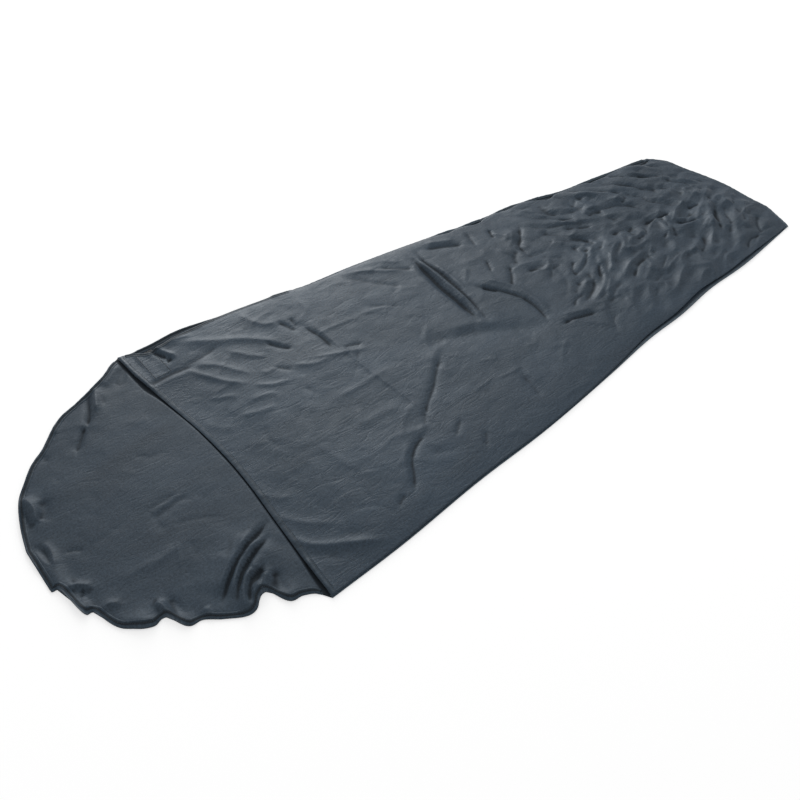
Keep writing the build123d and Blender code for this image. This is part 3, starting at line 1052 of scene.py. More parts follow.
@dataclass
class FrontCloth:
    """The upper sheet, from the mouth to the foot.

    Attributes:
        cells_along: Cells of cloth from mouth to foot.
        cells_across: Cells across it.
        rest: The height at which it leaves the seams.
        loft: How high it stands over the back cloth, mid way.
        shoulder: How far in from its near and its far side it comes up to its loft.
        rise: How far in from the mouth and from the foot it comes up to its loft.
        patch: How thick it and the patch under it are.
        footward: Where along X the crumples over the feet begin, and where they are at their fullest.
        spare: How much spare length its cloth has, as a share, and how much more over the feet.
        settled: How much of its settling it takes up, and how much more over the feet.
        foot_reveal: How far its foot edge stays inside the seam.
        near_lift: How high its near edge stands off the seam: metres along X, then millimetres.
        ridge: How high its slanting ridges stand over the feet, on the near half.
        puff: How high its puffs stand over the feet, on the far half.
        settling: How it settles.
        flat: The width and the length that it is cut to; not used.
        flat_area: The area of that cut; not used.
    """

    cells_along: int = 480
    cells_across: int = 180
    rest: float = 2.6 * MM
    loft: float = 10.0 * MM
    shoulder: Point = (0.04, 0.011)
    rise: Point = (0.16, 0.05)
    patch: float = 3.2 * MM
    footward: Point = (0.25, 0.6)
    spare: Point = (0.001, 0.014)
    settled: Point = (0.10, 0.22)
    foot_reveal: float = 12 * MM
    near_lift: Curve = (
        (-0.703, 0.6), (-0.50, 1.0), (-0.20, 1.2), (0.10, 1.2), (0.20, 0.8), (0.36, 0.4), (0.56, 0.6),
        (0.80, 0.5), (0.94, 0.4), (1.06, 0.4),
    )
    ridge: float = 16.0 * MM
    puff: float = 14.0 * MM
    settling: Settling = Settling()
    flat: tuple[float, float] = (0.893, 1.830)
    flat_area: float = 1.30
    grid: ClothGrid | None = field(default=None, repr=False)

    def lay(self) -> ClothGrid:
        """Lays the sheet over the back cloth with all its folds.

        Returns:
            The laid sheet.
        """
        near, far = CUT.edge(False), CUT.edge(True)
        near_in, far_in = CUT.reveal(False), CUT.reveal(True)
        rows = np.linspace(0.0, 1.0, self.cells_along + 1)
        grid = ClothGrid(CUT.mouth_line, lambda y: CUT.foot(y) - self.foot_reveal,
                         lambda x: near(x) + near_in(x), lambda x: far(x) - far_in(x), rows,
                         self.cells_across + 1)
        x, y = grid.points[..., 0], grid.points[..., 1]
        inset = np.minimum(y - near(x), far(x) - y)
        shoulder = np.where(y - near(x) < far(x) - y, self.shoulder[0], self.shoulder[1])
        sides = 1.0 - np.exp(-np.maximum(inset, 0.0) / shoulder)
        mouth = 0.06 + 0.94 * smooth_step(0.0, self.rise[0], x - CUT.mouth_line(y))
        foot = 1.0 - np.exp(-np.maximum(CUT.foot(y) - x, 0.0) / self.rise[1])
        patch_low, patch_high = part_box("hook_patch")
        padded = np.ones_like(x)
        for place, low, high in ((x, patch_low.x, patch_high.x), (y, patch_low.y, patch_high.y)):
            for edge, inward in ((low, place), (-high, -place)):
                padded = padded * smooth_step(edge - 4 * MM, edge, inward)
        slit_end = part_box("slit_front_hem")[1].x
        open_side = (1 - smooth_step(slit_end - 0.05, slit_end, x)) * smooth_step(0.0, 0.1, y)
        plan = grid.plan
        shape = grid.side.shape
        broad = fractal(plan, 6.0, 3, 1.7).reshape(shape)
        small = fractal(plan * np.array([1.0, 1.6]), 22.0, 4, 8.3).reshape(shape)
        footward = smooth_step(*self.footward, x)
        base = self.rest + self.loft * sides * mouth * foot
        uneven = (2.2 + 3.2 * footward) * MM * broad + (0.5 + 0.5 * footward) * MM * small
        base += sides * foot * (0.3 + 0.7 * mouth) * uneven
        ridges = 0.75 - np.abs(fractal(slanted(plan, 27, 2.4), 17.0, 2, 5.2)).reshape(shape)
        puffs = np.abs(fractal(slanted(plan, -36, 2.6), 14.0, 2, 2.9)).reshape(shape) - 0.2
        near_half = 1 - smooth_step(-0.04, 0.09, y)
        crumpled = self.ridge * near_half * (ridges - 0.2) + self.puff * (1 - near_half) * puffs
        base += sides * foot * footward * crumpled
        base += 1.6 * MM * np.exp(-np.maximum(CUT.foot(y) - self.foot_reveal - x, 0.0) / 0.008)
        near_edge = curve_through(self.near_lift)(x) * MM
        base += near_edge * np.exp(-np.maximum(y - near(x) - near_in(x), 0.0) / 0.012)
        folds = list(UPPER_FOLDS + MIDDLE_FOLDS + FOOT_FOLDS)
        for scattered in (
                (5, 70, (0.32, 1.04, -0.24, 0.02), (28, 22), (0.05, 0.13), (1.2, 4.0), (6, 11)),
                (6, 60, (0.30, 1.04, 0.0, 0.25), (-25, 70), (0.05, 0.12), (1.2, 3.6), (7, 13)),
                (7, 90, (-0.62, 0.30, -0.36, 0.36), (15, 80), (0.04, 0.13), (0.4, 1.3), (5, 11))):
            folds += scattered_folds(*scattered)
        folded = grid.fold(folds)
        sewn = 1 - smooth_step(0.0, 0.03, inset) * smooth_step(0.0, 0.02, CUT.foot(y) - x)
        sewn = sewn * (1 - open_side)
        height = base + folded * (1.0 - 0.75 * sewn) + grid.fold(SLIT_FOLDS)
        grid.height = soft_floor(height, self.rest, 1.2 * MM)
        spare = self.spare[0] + self.spare[1] * footward
        taken = self.settled[0] + self.settled[1] * footward
        sewn_edge = 1 - smooth_step(0.0, 0.02, np.minimum(inset, CUT.foot(y) - x))
        held = np.clip(sewn_edge + padded, 0.0, 1.0)
        self.settling.run(grid, spare, held, self.rest - 1.5 * MM, taken)
        height = soft_floor(grid.height, self.rest, 0.6 * MM)
        grid.height = height * (1 - padded) + np.maximum(height, self.rest + self.patch) * padded
        self.grid = grid
        return grid

    def build(self) -> Piece:
        """Builds the sheet.

        Returns:
            The front cloth.
        """
        grid = self.lay()
        piece = new_object("front_cloth", grid.mesh("front_cloth", CLOTH_THICKNESS, UNDER_CELLS),
                           FRONT_CLOTH.material())
        follow_corner(piece)
        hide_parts("front_panel", "front_corner")
        return piece


@dataclass
class BackCloth:
    """The lower sheet: the back of the bag, running on past the mouth as the hood.

    Attributes:
        hood_cells: Cells along the hood.
        body_cells: Cells along the rest.
        cells_across: Cells across it.
        loft: How high the hood's crumpled cloth stands.
        shoulder: How far in from its edge it comes up to that.
        waves: How high its broad and its small waves are.
        resting: The height of cloth that lies flat.
        curl_reach: How far in the near edge's curl, the far edge's curl and the seams' curl go.
        gap: How wide the gap is between the hood's cloth and the mouth: metres along Y, then millimetres.
        near_curl: How high the hood's near edge curls: metres along X, then millimetres.
        far_curl: The same at its far edge.
        flat: The width and the length that it is cut to; not used.
        flat_area: The area of that cut; not used.
    """

    hood_cells: int = 168
    body_cells: int = 160
    cells_across: int = 180
    loft: float = 5.2 * MM
    shoulder: float = 0.03
    waves: Point = (0.9 * MM, 0.25 * MM)
    resting: float = 0.9 * MM
    curl_reach: tuple[float, float, float] = (0.012, 0.010, 0.007)
    gap: Curve = (
        (-0.43, 9), (-0.38, 5), (-0.32, 2), (-0.20, 0.5), (0.0, 0.5), (0.20, 1), (0.25, 4), (0.29, 9),
        (0.33, 6), (0.38, 4), (0.43, 6),
    )
    near_curl: Curve = (
        (-1.095, 5), (-1.07, 10), (-1.045, 3), (-1.02, 7), (-0.985, 11), (-0.965, 3), (-0.945, 9),
        (-0.915, 1), (-0.88, 2), (-0.85, 2), (-0.825, 9), (-0.80, 13), (-0.782, 3), (-0.765, 8), (-0.735, 4),
        (-0.71, 2), (-0.70, 0),
    )
    far_curl: Curve = (
        (-1.095, 5), (-1.08, 9), (-1.05, 4), (-1.03, 6), (-0.98, 2), (-0.90, 4), (-0.86, 2), (-0.79, 6),
        (-0.75, 3), (-0.70, 0),
    )
    flat: tuple[float, float] = (0.893, 2.230)
    flat_area: float = 1.55
    grid: ClothGrid | None = field(default=None, repr=False)

    def lay(self) -> ClothGrid:
        """Lays the sheet on the floor, with the hood's folds and painted shadow under the mouth and by the
        slit.

        Returns:
            The laid sheet.
        """
        near, far = CUT.edge(False), CUT.edge(True)
        neck = (CUT.mouth + 0.03 - LOW.x) / (HIGH.x - LOW.x)
        rows = np.concatenate([np.linspace(0.0, neck, self.hood_cells + 1)[:-1],
                               np.linspace(neck, 1.0, self.body_cells + 1)])
        grid = ClothGrid(CUT.tip_line, CUT.foot, near, far, rows, self.cells_across + 1)
        x, y = grid.points[..., 0], grid.points[..., 1]
        into_mouth = x - CUT.mouth_line(y) + curve_through(self.gap)(y) * MM
        hood = 1.0 - smooth_step(-5 * MM, 0.0, into_mouth)
        inset = np.maximum(np.minimum(np.minimum(y - near(x), far(x) - y), x - CUT.tip), 0.0)
        plan = grid.plan
        shape = grid.side.shape
        broad = fractal(plan, 9.0, 3, 4.4).reshape(shape)
        small = fractal(plan, 30.0, 3, 9.1).reshape(shape)
        lofty = 1.0 - np.exp(-inset / self.shoulder)
        folded = grid.fold(list(HOOD_FOLDS) + scattered_folds(
            11, 34, (-1.06, -0.74, -0.30, 0.32), (20, 80), (0.04, 0.11), (0.3, 1.0), (7, 14)))
        height = (self.loft * lofty + self.waves[0] * broad + self.waves[1] * small
                  + folded * (0.45 + 0.55 * lofty))
        resting = self.resting
        near_reach, far_reach, seam_reach = self.curl_reach
        nearer = smooth_step(-0.05, 0.05, far(x) - y - (y - near(x)))
        off_side = np.maximum(np.minimum(y - near(x), far(x) - y), 0.0)
        into_curl = inset / near_reach
        rolled = curve_through(self.near_curl)(x) * MM * into_curl * np.exp(1.0 - into_curl)
        turned_up = curve_through(self.far_curl)(x) * MM * np.exp(-inset / far_reach)
        curl = nearer * rolled + (1 - nearer) * turned_up
        curl = curl * (1 - smooth_step(CUT.mouth - 0.02, CUT.mouth, x))
        seam_curl = np.where(y - near(x) < far(x) - y, CUT.curl(False, x), CUT.curl(True, x))
        curl += seam_curl * np.exp(-off_side / seam_reach) * (1 - hood)
        grid.height = resting + hood * (soft_floor(height, resting, 0.8 * MM) - resting) + curl
        # Painted shadow: the back cloth is darkened in the gap under the mouth's edge and in the trough between
        # the slit's hems.
        past_mouth = smooth_step(3 * MM, 8 * MM, x - CUT.mouth_line(y))
        gap_painted_shadow = smooth_step(-5 * MM, -1 * MM, into_mouth) * (1 - past_mouth)
        bare = CUT.reveal(True)(x)
        place = (far(x) - y) / bare
        trough_painted_shadow = smooth_step(0.35, 0.65, place) * (1 - smooth_step(1.0, 1.5, place))
        under_front = 1 - hood * (into_mouth < -5 * MM)
        grid.shade = np.maximum(gap_painted_shadow, trough_painted_shadow * smooth_step(8 * MM, 13 * MM, bare)) * under_front
        self.grid = grid
        return grid

    def build(self) -> Piece:
        """Builds the sheet.

        Returns:
            The back cloth and hood.
        """
        grid = self.lay()
        piece = new_object("back_cloth_and_hood", grid.mesh("back_cloth_and_hood", CLOTH_THICKNESS,
                                                            UNDER_CELLS), BACK_CLOTH.material())
        follow_hood(piece)
        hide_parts("back_panel", "hood_panel")
        return piece


# ---- Hems, seams, patches and stitches -------------------------------------------------------------


class Drape:
    """Finds the top of one or more laid pieces from above."""

    def __init__(self, *pieces: Piece) -> None:
        """Reads the pieces' meshes."""
        depsgraph = bpy.context.evaluated_depsgraph_get()
        self.trees = [BVHTree.FromObject(piece, depsgraph) for piece in pieces]

    def top(self, x: float, y: float) -> float:
        """The height of the highest piece at a place, or of the nearest one beside it."""
        above, down = Vector((x, y, 1.0)), Vector((0.0, 0.0, -1.0))
        hits = [tree.ray_cast(above, down)[0] for tree in self.trees]
        found = [hit.z for hit in hits if hit is not None]
        if found:
            return max(found)
        nearest = [tree.find_nearest(Vector((x, y, 0.003))) for tree in self.trees]
        return min(nearest, key=lambda hit: hit[3])[0].z


def smoothed(rows: Array, times: int) -> Array:
    """Moves each row but the first and last to the mean of itself and its neighbours, so many times."""
    for _ in range(times):
        rows[1:-1] = 0.25 * rows[:-2] + 0.5 * rows[1:-1] + 0.25 * rows[2:]
    return rows


def evenly(path: Array, step: float, rounding: int = 2) -> Array:
    """Spaces points evenly along a path in plan, and rounds its kinks a little.

    Args:
        path: The path, one point to a row.
        step: The spacing, in metres.
        rounding: How many times each point moves to the mean of its neighbours.

    Returns:
        The new path.
    """
    path = np.asarray(path, dtype=float)[:, :2]
    run = np.concatenate(([0.0], np.cumsum(np.linalg.norm(np.diff(path, axis=0), axis=1))))
    places = np.linspace(0.0, run[-1], max(int(run[-1] / step), 2) + 1)
    return smoothed(np.stack([np.interp(places, run, path[:, k]) for k in (0, 1)], axis=1), rounding)


def inward_of(path: Array, left: bool) -> Array:
    """The direction into the cloth at each point of an edge.

    Args:
        path: The edge, evenly spaced.
        left: Whether the cloth is on the left of the path.

    Returns:
        Unit vectors in plan.
    """
    along = smoothed(np.gradient(path, axis=0), 3)
    along /= np.linalg.norm(along, axis=1)[:, None]
    turned = np.stack([-along[:, 1], along[:, 0]], axis=1)
    return turned if left else -turned


class Section(Enum):
    """The cross-section of a strip of folded cloth: shares of its width, of its thickness, and its painted
    shade.
    """

    HEM = ((-0.04, 0.15, 1.0), (-0.03, 0.75, 0.4), (0.06, 1.0, 0.0), (0.20, 0.92, 0.0), (0.36, 0.30, 0.8),
           (0.50, 0.18, 1.0), (0.66, 0.46, 0.6), (0.90, 0.55, 0.1), (1.0, 0.34, 0.0), (1.03, 0.0, 0.0))
    FLAT = ((-0.04, 0.3, 1.0), (-0.03, 0.9, 0.5), (0.06, 1.0, 0.0), (0.5, 0.8, 0.0), (0.92, 0.75, 0.0),
            (1.03, 0.0, 0.0))
    ROLLED = ((-0.05, 0.2, 1.0), (-0.02, 0.8, 0.2), (0.15, 1.0, 0.0), (0.38, 0.90, 0.0), (0.52, 0.55, 0.3),
              (0.66, 0.70, 0.0), (0.88, 0.55, 0.7), (1.0, 0.0, 1.0))


@dataclass(frozen=True)
class Band:
    """A narrow strip of folded cloth along an edge.

    Attributes:
        name: The piece's name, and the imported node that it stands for.
        slot: The record's material slot.
        section: Its cross-section.
        width: How far in from the edge it reaches.
        thickness: How thick it is.
        pucker: How much its thickness comes and goes along the stitches.
        under: How far it reaches beneath the cloth's upper face.
    """

    name: str
    slot: str
    section: Section
    width: float
    thickness: float
    pucker: float = 0.3
    under: float = 0.7 * MM

    def build(self, edge: Array, left: bool, drape: Drape, finishes: dict[str, Material]) -> Piece:
        """Sweeps the strip along its edge.

        Args:
            edge: The edge's path in plan.
            left: Whether the cloth is on the left of the path.
            drape: What the strip lies on.
            finishes: The strips' materials, by slot.

        Returns:
            The strip.
        """
        path = evenly(edge, 3.0 * MM)
        inward = inward_of(path, left)
        upper = self.section.value
        rings, cut, run = [], [], 0.0
        # Painted shade: each section point's own share, and full shade on the three points underneath.
        painted_shade_data = [deep for _, _, deep in upper] + [1.0] * 3
        for i, (point, into) in enumerate(zip(path, inward)):
            run += float(np.linalg.norm(path[i] - path[i - 1])) if i else 0.0
            swell = 1.0 + self.pucker * noise.noise((run * 95.0, 3.1, len(self.name)))
            reach = self.width * (1.0 + 0.07 * noise.noise((run * 40.0, 7.7, len(self.name))))
            end = 0.25 if i in (0, len(path) - 1) else 1.0
            ring = []
            for share, rise, _ in upper:
                x, y = point + into * (share * reach)
                ring.append((x, y, drape.top(x, y) + rise * self.thickness * swell * end))
            for share in (0.97, 0.5, 0.0):
                x, y = point + into * (share * reach)
                ring.append((x, y, max(drape.top(x, y) - self.under, 0.0)))
            rings.append(ring)
            cut.append([(run, k * self.width / len(ring)) for k in range(len(ring))])
        mesh = swept(self.name, rings, cut)
        # The painted shade goes to the material as an attribute.
        painted_shade = mesh.attributes.new("PaintedShade", "FLOAT", "POINT")
        painted_shade.data.foreach_set("value", painted_shade_data * len(rings))
        piece = new_object(self.name + "_strip", mesh, finishes[self.slot])
        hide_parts(self.name)
        return piece


def swept(name: str, rings: list, cut: list) -> Mesh:
    """Joins rings of points into a closed tube.

    Args:
        name: The mesh's name.
        rings: Rings of as many points each.
        cut: The same points on the flat cloth.

    Returns:
        The mesh, with its cut as a UV map.
    """
    count, around = len(rings), len(rings[0])
    vertices = [point for ring in rings for point in ring]
    flat = [point for ring in cut for point in ring]
    faces = [(i * around + k, i * around + (k + 1) % around, (i + 1) * around + (k + 1) % around,
              (i + 1) * around + k) for i in range(count - 1) for k in range(around)]
    faces.append(tuple(reversed(range(around))))
    faces.append(tuple(range((count - 1) * around, count * around)))
    mesh = plain_mesh(name, vertices, faces)
    layer = mesh.uv_layers.new(name="Cut")
    for loop in mesh.loops:
        layer.uv[loop.index].vector = flat[loop.vertex_index]
    mesh.shade_smooth()
    face_outwards(mesh)
    return mesh


def face_outwards(mesh: Mesh) -> None:
    """Turns a closed mesh's faces outwards."""
    work = bmesh.new()
    work.from_mesh(mesh)
    bmesh.ops.recalc_face_normals(work, faces=work.faces)
    work.to_mesh(mesh)
    work.free()


class Growth:
    """A geometry tree that grows small parts along or over a piece, and the way to apply it."""

    def __init__(self, name: str) -> None:
        """Starts a tree with a geometry input and output."""
        self.tree = bpy.data.node_groups.new(name, "GeometryNodeTree")
        self.nodes = Nodes(self.tree)
        self.tree.interface.new_socket("Geometry", in_out="INPUT", socket_type="NodeSocketGeometry")
        self.tree.interface.new_socket("Geometry", in_out="OUTPUT", socket_type="NodeSocketGeometry")
        self.ids: dict[str, str] = {}

    def size(self, name: str, kind: str, default: object) -> None:
        """Adds a named input for a size, a count or a seed."""
        socket = self.tree.interface.new_socket(name, in_out="INPUT", socket_type=kind)
        socket.default_value = default
        self.ids[name] = socket.identifier

    def finish(self, geometry: Socket, material: Material) -> None:
        """Ends the tree: makes the parts real, and gives them their material."""
        real = self.nodes.add("GeometryNodeRealizeInstances", {0: geometry}).outputs[0]
        dressed = self.nodes.add("GeometryNodeSetMaterial", {"Geometry": real, "Material": material})
        self.nodes.add("NodeGroupOutput", {0: dressed.outputs[0]})

    def random_vector(self, low: Sequence[float], high: Sequence[float], seed: Socket) -> Socket:
        """Adds a random vector between two others and returns it."""
        return self.nodes.add("FunctionNodeRandomValue", {0: low, 1: high, "Seed": seed},
                              data_type="FLOAT_VECTOR").outputs[0]

    def apply(self, base: Piece, name: str, **sizes: object) -> Piece:
        """Grows the parts and keeps only them, as a plain mesh.

        Args:
            base: The curve or mesh to grow on, which is removed.
            name: The new piece's name.
            **sizes: The tree's inputs, with _ for a space.

        Returns:
            The new piece.
        """
        modifier = base.modifiers.new(name, "NODES")
        modifier.node_group = self.tree
        for key, value in sizes.items():
            modifier[self.ids[key.replace("_", " ").capitalize()]] = value
        base.update_tag()
        grown = base.evaluated_get(bpy.context.evaluated_depsgraph_get())
        mesh = bpy.data.meshes.new_from_object(grown)
        mesh.name = name
        bpy.data.objects.remove(base)
        mesh.shade_smooth()
        return new_object(name, mesh)


class StitchRow(Growth):
    """Stitches of thread along a line."""

    def __init__(self, thread: Material) -> None:
        """Builds the tree."""
        super().__init__("stitch_row")
        self.size("Pitch", "NodeSocketFloat", 4.2 * MM)
        self.size("Stitch", "NodeSocketVector", (3.2 * MM, 0.9 * MM, 0.6 * MM))
        self.size("Seed", "NodeSocketInt", 3)
        n = self.nodes
        given = n.add("NodeGroupInput").outputs
        points = n.add("GeometryNodeCurveToPoints", {"Curve": given["Geometry"], "Length": given["Pitch"]},
                       mode="LENGTH").outputs
        bead = n.add("GeometryNodeMeshUVSphere", {"Segments": 6, "Rings": 4, "Radius": 0.5}).outputs["Mesh"]
        along = n.add("FunctionNodeAlignRotationToVector", {"Vector": points["Tangent"]}, axis="X").outputs[0]
        uneven = self.random_vector((0.85, 0.8, 0.8), (1.1, 1.15, 1.1), given["Seed"])
        scale = n.add("ShaderNodeVectorMath", {0: given["Stitch"], 1: uneven}, operation="MULTIPLY")
        row = n.add("GeometryNodeInstanceOnPoints", {
            "Points": points["Points"], "Instance": bead, "Rotation": along,
            "Scale": scale.outputs[0]}).outputs[0]
        self.finish(row, thread)

    def sew(self, name: str, line: Array, drape: Drape, closed: bool = False, lift: float = 0.15 * MM,
            **sizes: object) -> Piece:
        """Sews one row along a line in plan.

        Args:
            name: The new piece's name.
            line: The line, evenly spaced.
            drape: What it is sewn on.
            closed: Whether the line comes back to its start.
            lift: How high the stitches' middles stand.
            **sizes: The tree's inputs.

        Returns:
            The row.
        """
        curve = bpy.data.curves.new(name, "CURVE")
        curve.dimensions = "3D"
        spline = curve.splines.new("POLY")
        spline.points.add(len(line) - 1)
        for point, (x, y) in zip(spline.points, line):
            point.co = (x, y, drape.top(x, y) + lift, 1.0)
        spline.use_cyclic_u = closed
        return self.apply(linked(name + "_line", curve), name, **sizes)


class Pile(Growth):
    """Small nylon arcs standing on a tape: closed for loops, cut short for hooks."""

    def __init__(self, name: str, sweep: float, tape: Material) -> None:
        """Builds the tree.

        Args:
            name: The tree's name.
            sweep: How much of a ring each arc is, in degrees.
            tape: The arcs' material.
        """
        super().__init__(name)
        self.size("Spacing", "NodeSocketFloat", 2.4 * MM)
        self.size("Ring", "NodeSocketFloat", 0.7 * MM)
        self.size("Facing", "NodeSocketFloat", 1.0)
        self.size("Seed", "NodeSocketInt", 8)
        n = self.nodes
        given = n.add("NodeGroupInput").outputs
        normal = n.add("ShaderNodeSeparateXYZ", {0: n.add("GeometryNodeInputNormal").outputs[0]}).outputs["Z"]
        faced = n.math("GREATER_THAN", n.math("MULTIPLY", normal, given["Facing"]), 0.5)
        points = n.add("GeometryNodeDistributePointsOnFaces", {
            "Mesh": given["Geometry"], "Selection": faced, "Distance Min": given["Spacing"],
            "Density Max": 400000.0, "Seed": given["Seed"]}, distribute_method="POISSON").outputs
        arc = n.add("GeometryNodeCurveArc", {
            "Resolution": 7, "Radius": given["Ring"], "Start Angle": math.radians(-90),
            "Sweep Angle": math.radians(sweep)}).outputs[0]
        wire = n.add("GeometryNodeCurvePrimitiveCircle", {"Resolution": 4, "Radius": 0.13 * MM}).outputs[0]
        ring = n.add("GeometryNodeCurveToMesh", {"Curve": arc, "Profile Curve": wire, "Fill Caps": True})
        upright = n.add("GeometryNodeTransform", {
            "Geometry": ring.outputs[0], "Rotation": (math.radians(90), 0.0, 0.0)})
        spin = self.random_vector((-0.3, -0.3, -0.7), (0.3, 0.3, 0.7), given["Seed"])
        turned = n.add("FunctionNodeRotateRotation", {
            0: points["Rotation"], 1: n.add("FunctionNodeEulerToRotation", {0: spin}).outputs[0]},
            rotation_space="LOCAL").outputs[0]
        grown = n.add("GeometryNodeInstanceOnPoints", {
            "Points": points["Points"], "Instance": upright.outputs[0], "Rotation": turned}).outputs[0]
        both = n.add("GeometryNodeJoinGeometry", {0: grown})
        n.tree.links.new(given["Geometry"], both.inputs[0])
        self.finish(both.outputs[0], tape)


@dataclass(frozen=True)
class TapePatch:
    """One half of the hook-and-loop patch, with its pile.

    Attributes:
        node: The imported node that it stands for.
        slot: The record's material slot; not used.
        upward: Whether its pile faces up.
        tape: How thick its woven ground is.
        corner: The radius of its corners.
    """

    node: str
    slot: str
    upward: bool
    tape: float = 0.7 * MM
    corner: float = 4.0 * MM

    def build(self, drape: Drape, pile: Growth) -> Piece:
        """Cuts the tape to its place, follows the cloth with it, and grows its pile.

        Args:
            drape: The cloth that it is sewn to, seen from above.
            pile: The tree that grows its hooks or loops.

        Returns:
            The patch.
        """
        low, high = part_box(self.node)
        across, along = 12, 26
        centre = (low + high) / 2
        half = (high - low) / 2
        down = 1.0 if self.upward else -1.0
        ground, face = [], []
        for i in range(across + 1):
            for j in range(along + 1):
                u, v = 2 * i / across - 1, 2 * j / along - 1
                trim = self.corner * max(abs(u) ** 12 * abs(v) ** 40, 0.0) * 0.3
                x = centre.x + u * (half.x - trim)
                y = centre.y + v * (half.y - trim)
                seat = drape.top(x, y) + (0.05 * MM if self.upward else -0.75 * MM)
                ground.append((x, y, seat))
                face.append((x, y, seat + down * self.tape))
        width, first = along + 1, len(ground)
        cells = [i * width + j for i in range(across) for j in range(along)]
        quads = [(a, a + width, a + width + 1, a + 1) for a in cells]
        faces = quads + [tuple(first + k for k in quad) for quad in quads]
        rim = ([i * width for i in range(across)] + [across * width + j for j in range(along)]
               + [i * width + along for i in range(across, 0, -1)] + [j for j in range(along, 0, -1)])
        faces += [(a, b, first + b, first + a) for a, b in zip(rim, rim[1:] + rim[:1])]
        mesh = plain_mesh(self.node, ground + face, faces)
        face_outwards(mesh)
        piece = pile.apply(new_object(self.node + "_ground", mesh), self.node + "_tape", facing=down)
        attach(piece, Body.BAG.value if self.upward else Body.CORNER.value)
        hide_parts(self.node)
        return piece


# ---- The sewn parts ------------------------------------------------------------------------------


def follow_corner(piece: Piece) -> None:
    """Bakes a piece's placement into its mesh; it is not tied to the mouth's loose corner."""
    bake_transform(piece)


def follow_hood(piece: Piece) -> None:
    """Bakes a piece's placement into its mesh; it does not fold with the hood."""
    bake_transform(piece)


def beside(edge: Array, left: bool, inset: float) -> Array:
    """Runs a line along an edge, a little way into the cloth."""
    line = evenly(edge, 3 * MM)
    return line + inward_of(line, left) * inset


@dataclass
class Bench:
    """What the sewn parts are made of and sewn to.

    Attributes:
        back: The back cloth as laid.
        front: The front cloth as laid.
        back_piece: The back cloth's piece.
        front_piece: The front cloth's piece.
        finishes: The strips' materials, by slot.
        rows: The tree that sews stitches.
    """

    back: BackCloth
    front: FrontCloth
    back_piece: Piece
    front_piece: Piece
    finishes: dict[str, Material]
    rows: StitchRow


@dataclass
class HoodHem:
    """The hood's narrow hem and its stitches.

    Attributes:
        hem: The strip.
        stitch_inset: How far in from the edge the stitches run.
    """

    hem: Band = Band("hood_hem", "hem_cloth", Section.HEM, 11 * MM, 1.6 * MM, 0.4, 9 * MM)
    stitch_inset: float = 5.4 * MM

    def build(self, bench: Bench) -> list[Piece]:
        """Sews the hem round the hood, from one side of the neck to the other.

        Args:
            bench: What it is made of and sewn to.

        Returns:
            The hem and its stitches.
        """
        cloth = bench.back_piece
        points = bench.back.grid.points
        last = int(np.argmax(points[:, 0, 0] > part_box("hood_hem")[1].x))
        edge = np.concatenate([points[last::-1, 0], points[0, 1:-1], points[:last + 1, -1]])
        hem = self.hem.build(edge, False, Drape(cloth), bench.finishes)
        line = beside(edge, False, self.stitch_inset)[2:-2]
        stitches = bench.rows.sew("hood_hem_stitches", line, Drape(cloth, hem))
        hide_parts("hood_hem_thread")
        for piece in (hem, stitches):
            follow_hood(piece)
        return [hem, stitches]


@dataclass
class Mouth:
    """The mouth's hem, the slit's front hem and their stitches.

    Attributes:
        hem: The mouth's strip.
        slit_hem: The slit's front strip.
        stitch_inset: How far in from the mouth's edge its stitches run.
    """

    hem: Band = Band("mouth_hem", "hem_cloth", Section.FLAT, 13 * MM, 0.8 * MM, 0.45)
    slit_hem: Band = Band("slit_front_hem", "hem_cloth", Section.HEM, 11 * MM, 1.0 * MM, 0.3)
    stitch_inset: float = 10.5 * MM

    def build(self, bench: Bench) -> list[Piece]:
        """Sews both hems and the patch's square of stitches.

        Args:
            bench: What they are made of and sewn to.

        Returns:
            The hems and their stitches.
        """
        points = bench.front.grid.points
        drape = Drape(bench.front_piece)
        hem = self.hem.build(points[0], False, drape, bench.finishes)
        far_edge = points[:, -1]
        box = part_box("slit_front_hem")
        slit_edge = far_edge[(far_edge[:, 0] > box[0].x + 2 * MM) & (far_edge[:, 0] < box[1].x)]
        slit_hem = self.slit_hem.build(slit_edge, False, drape, bench.finishes)
        line = beside(points[0], False, self.stitch_inset)[2:-3]
        stitches = bench.rows.sew("mouth_hem_stitches", line, Drape(bench.front_piece, hem))
        low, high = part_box("patch_thread")
        corners = np.array([(low.x, low.y), (high.x, low.y), (high.x, high.y), (low.x, high.y),
                            (low.x, low.y)])
        square = bench.rows.sew("patch_stitches", evenly(corners, 2.5 * MM, 1)[:-1], drape, closed=True,
                                stitch=(3.6 * MM, 1.7 * MM, 1.0 * MM))
        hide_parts("mouth_hem_thread")
        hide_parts("patch_thread")
        for piece in (hem, slit_hem, stitches):
            follow_corner(piece)
        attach(square, Body.CORNER.value)
        return [hem, slit_hem, stitches, square]


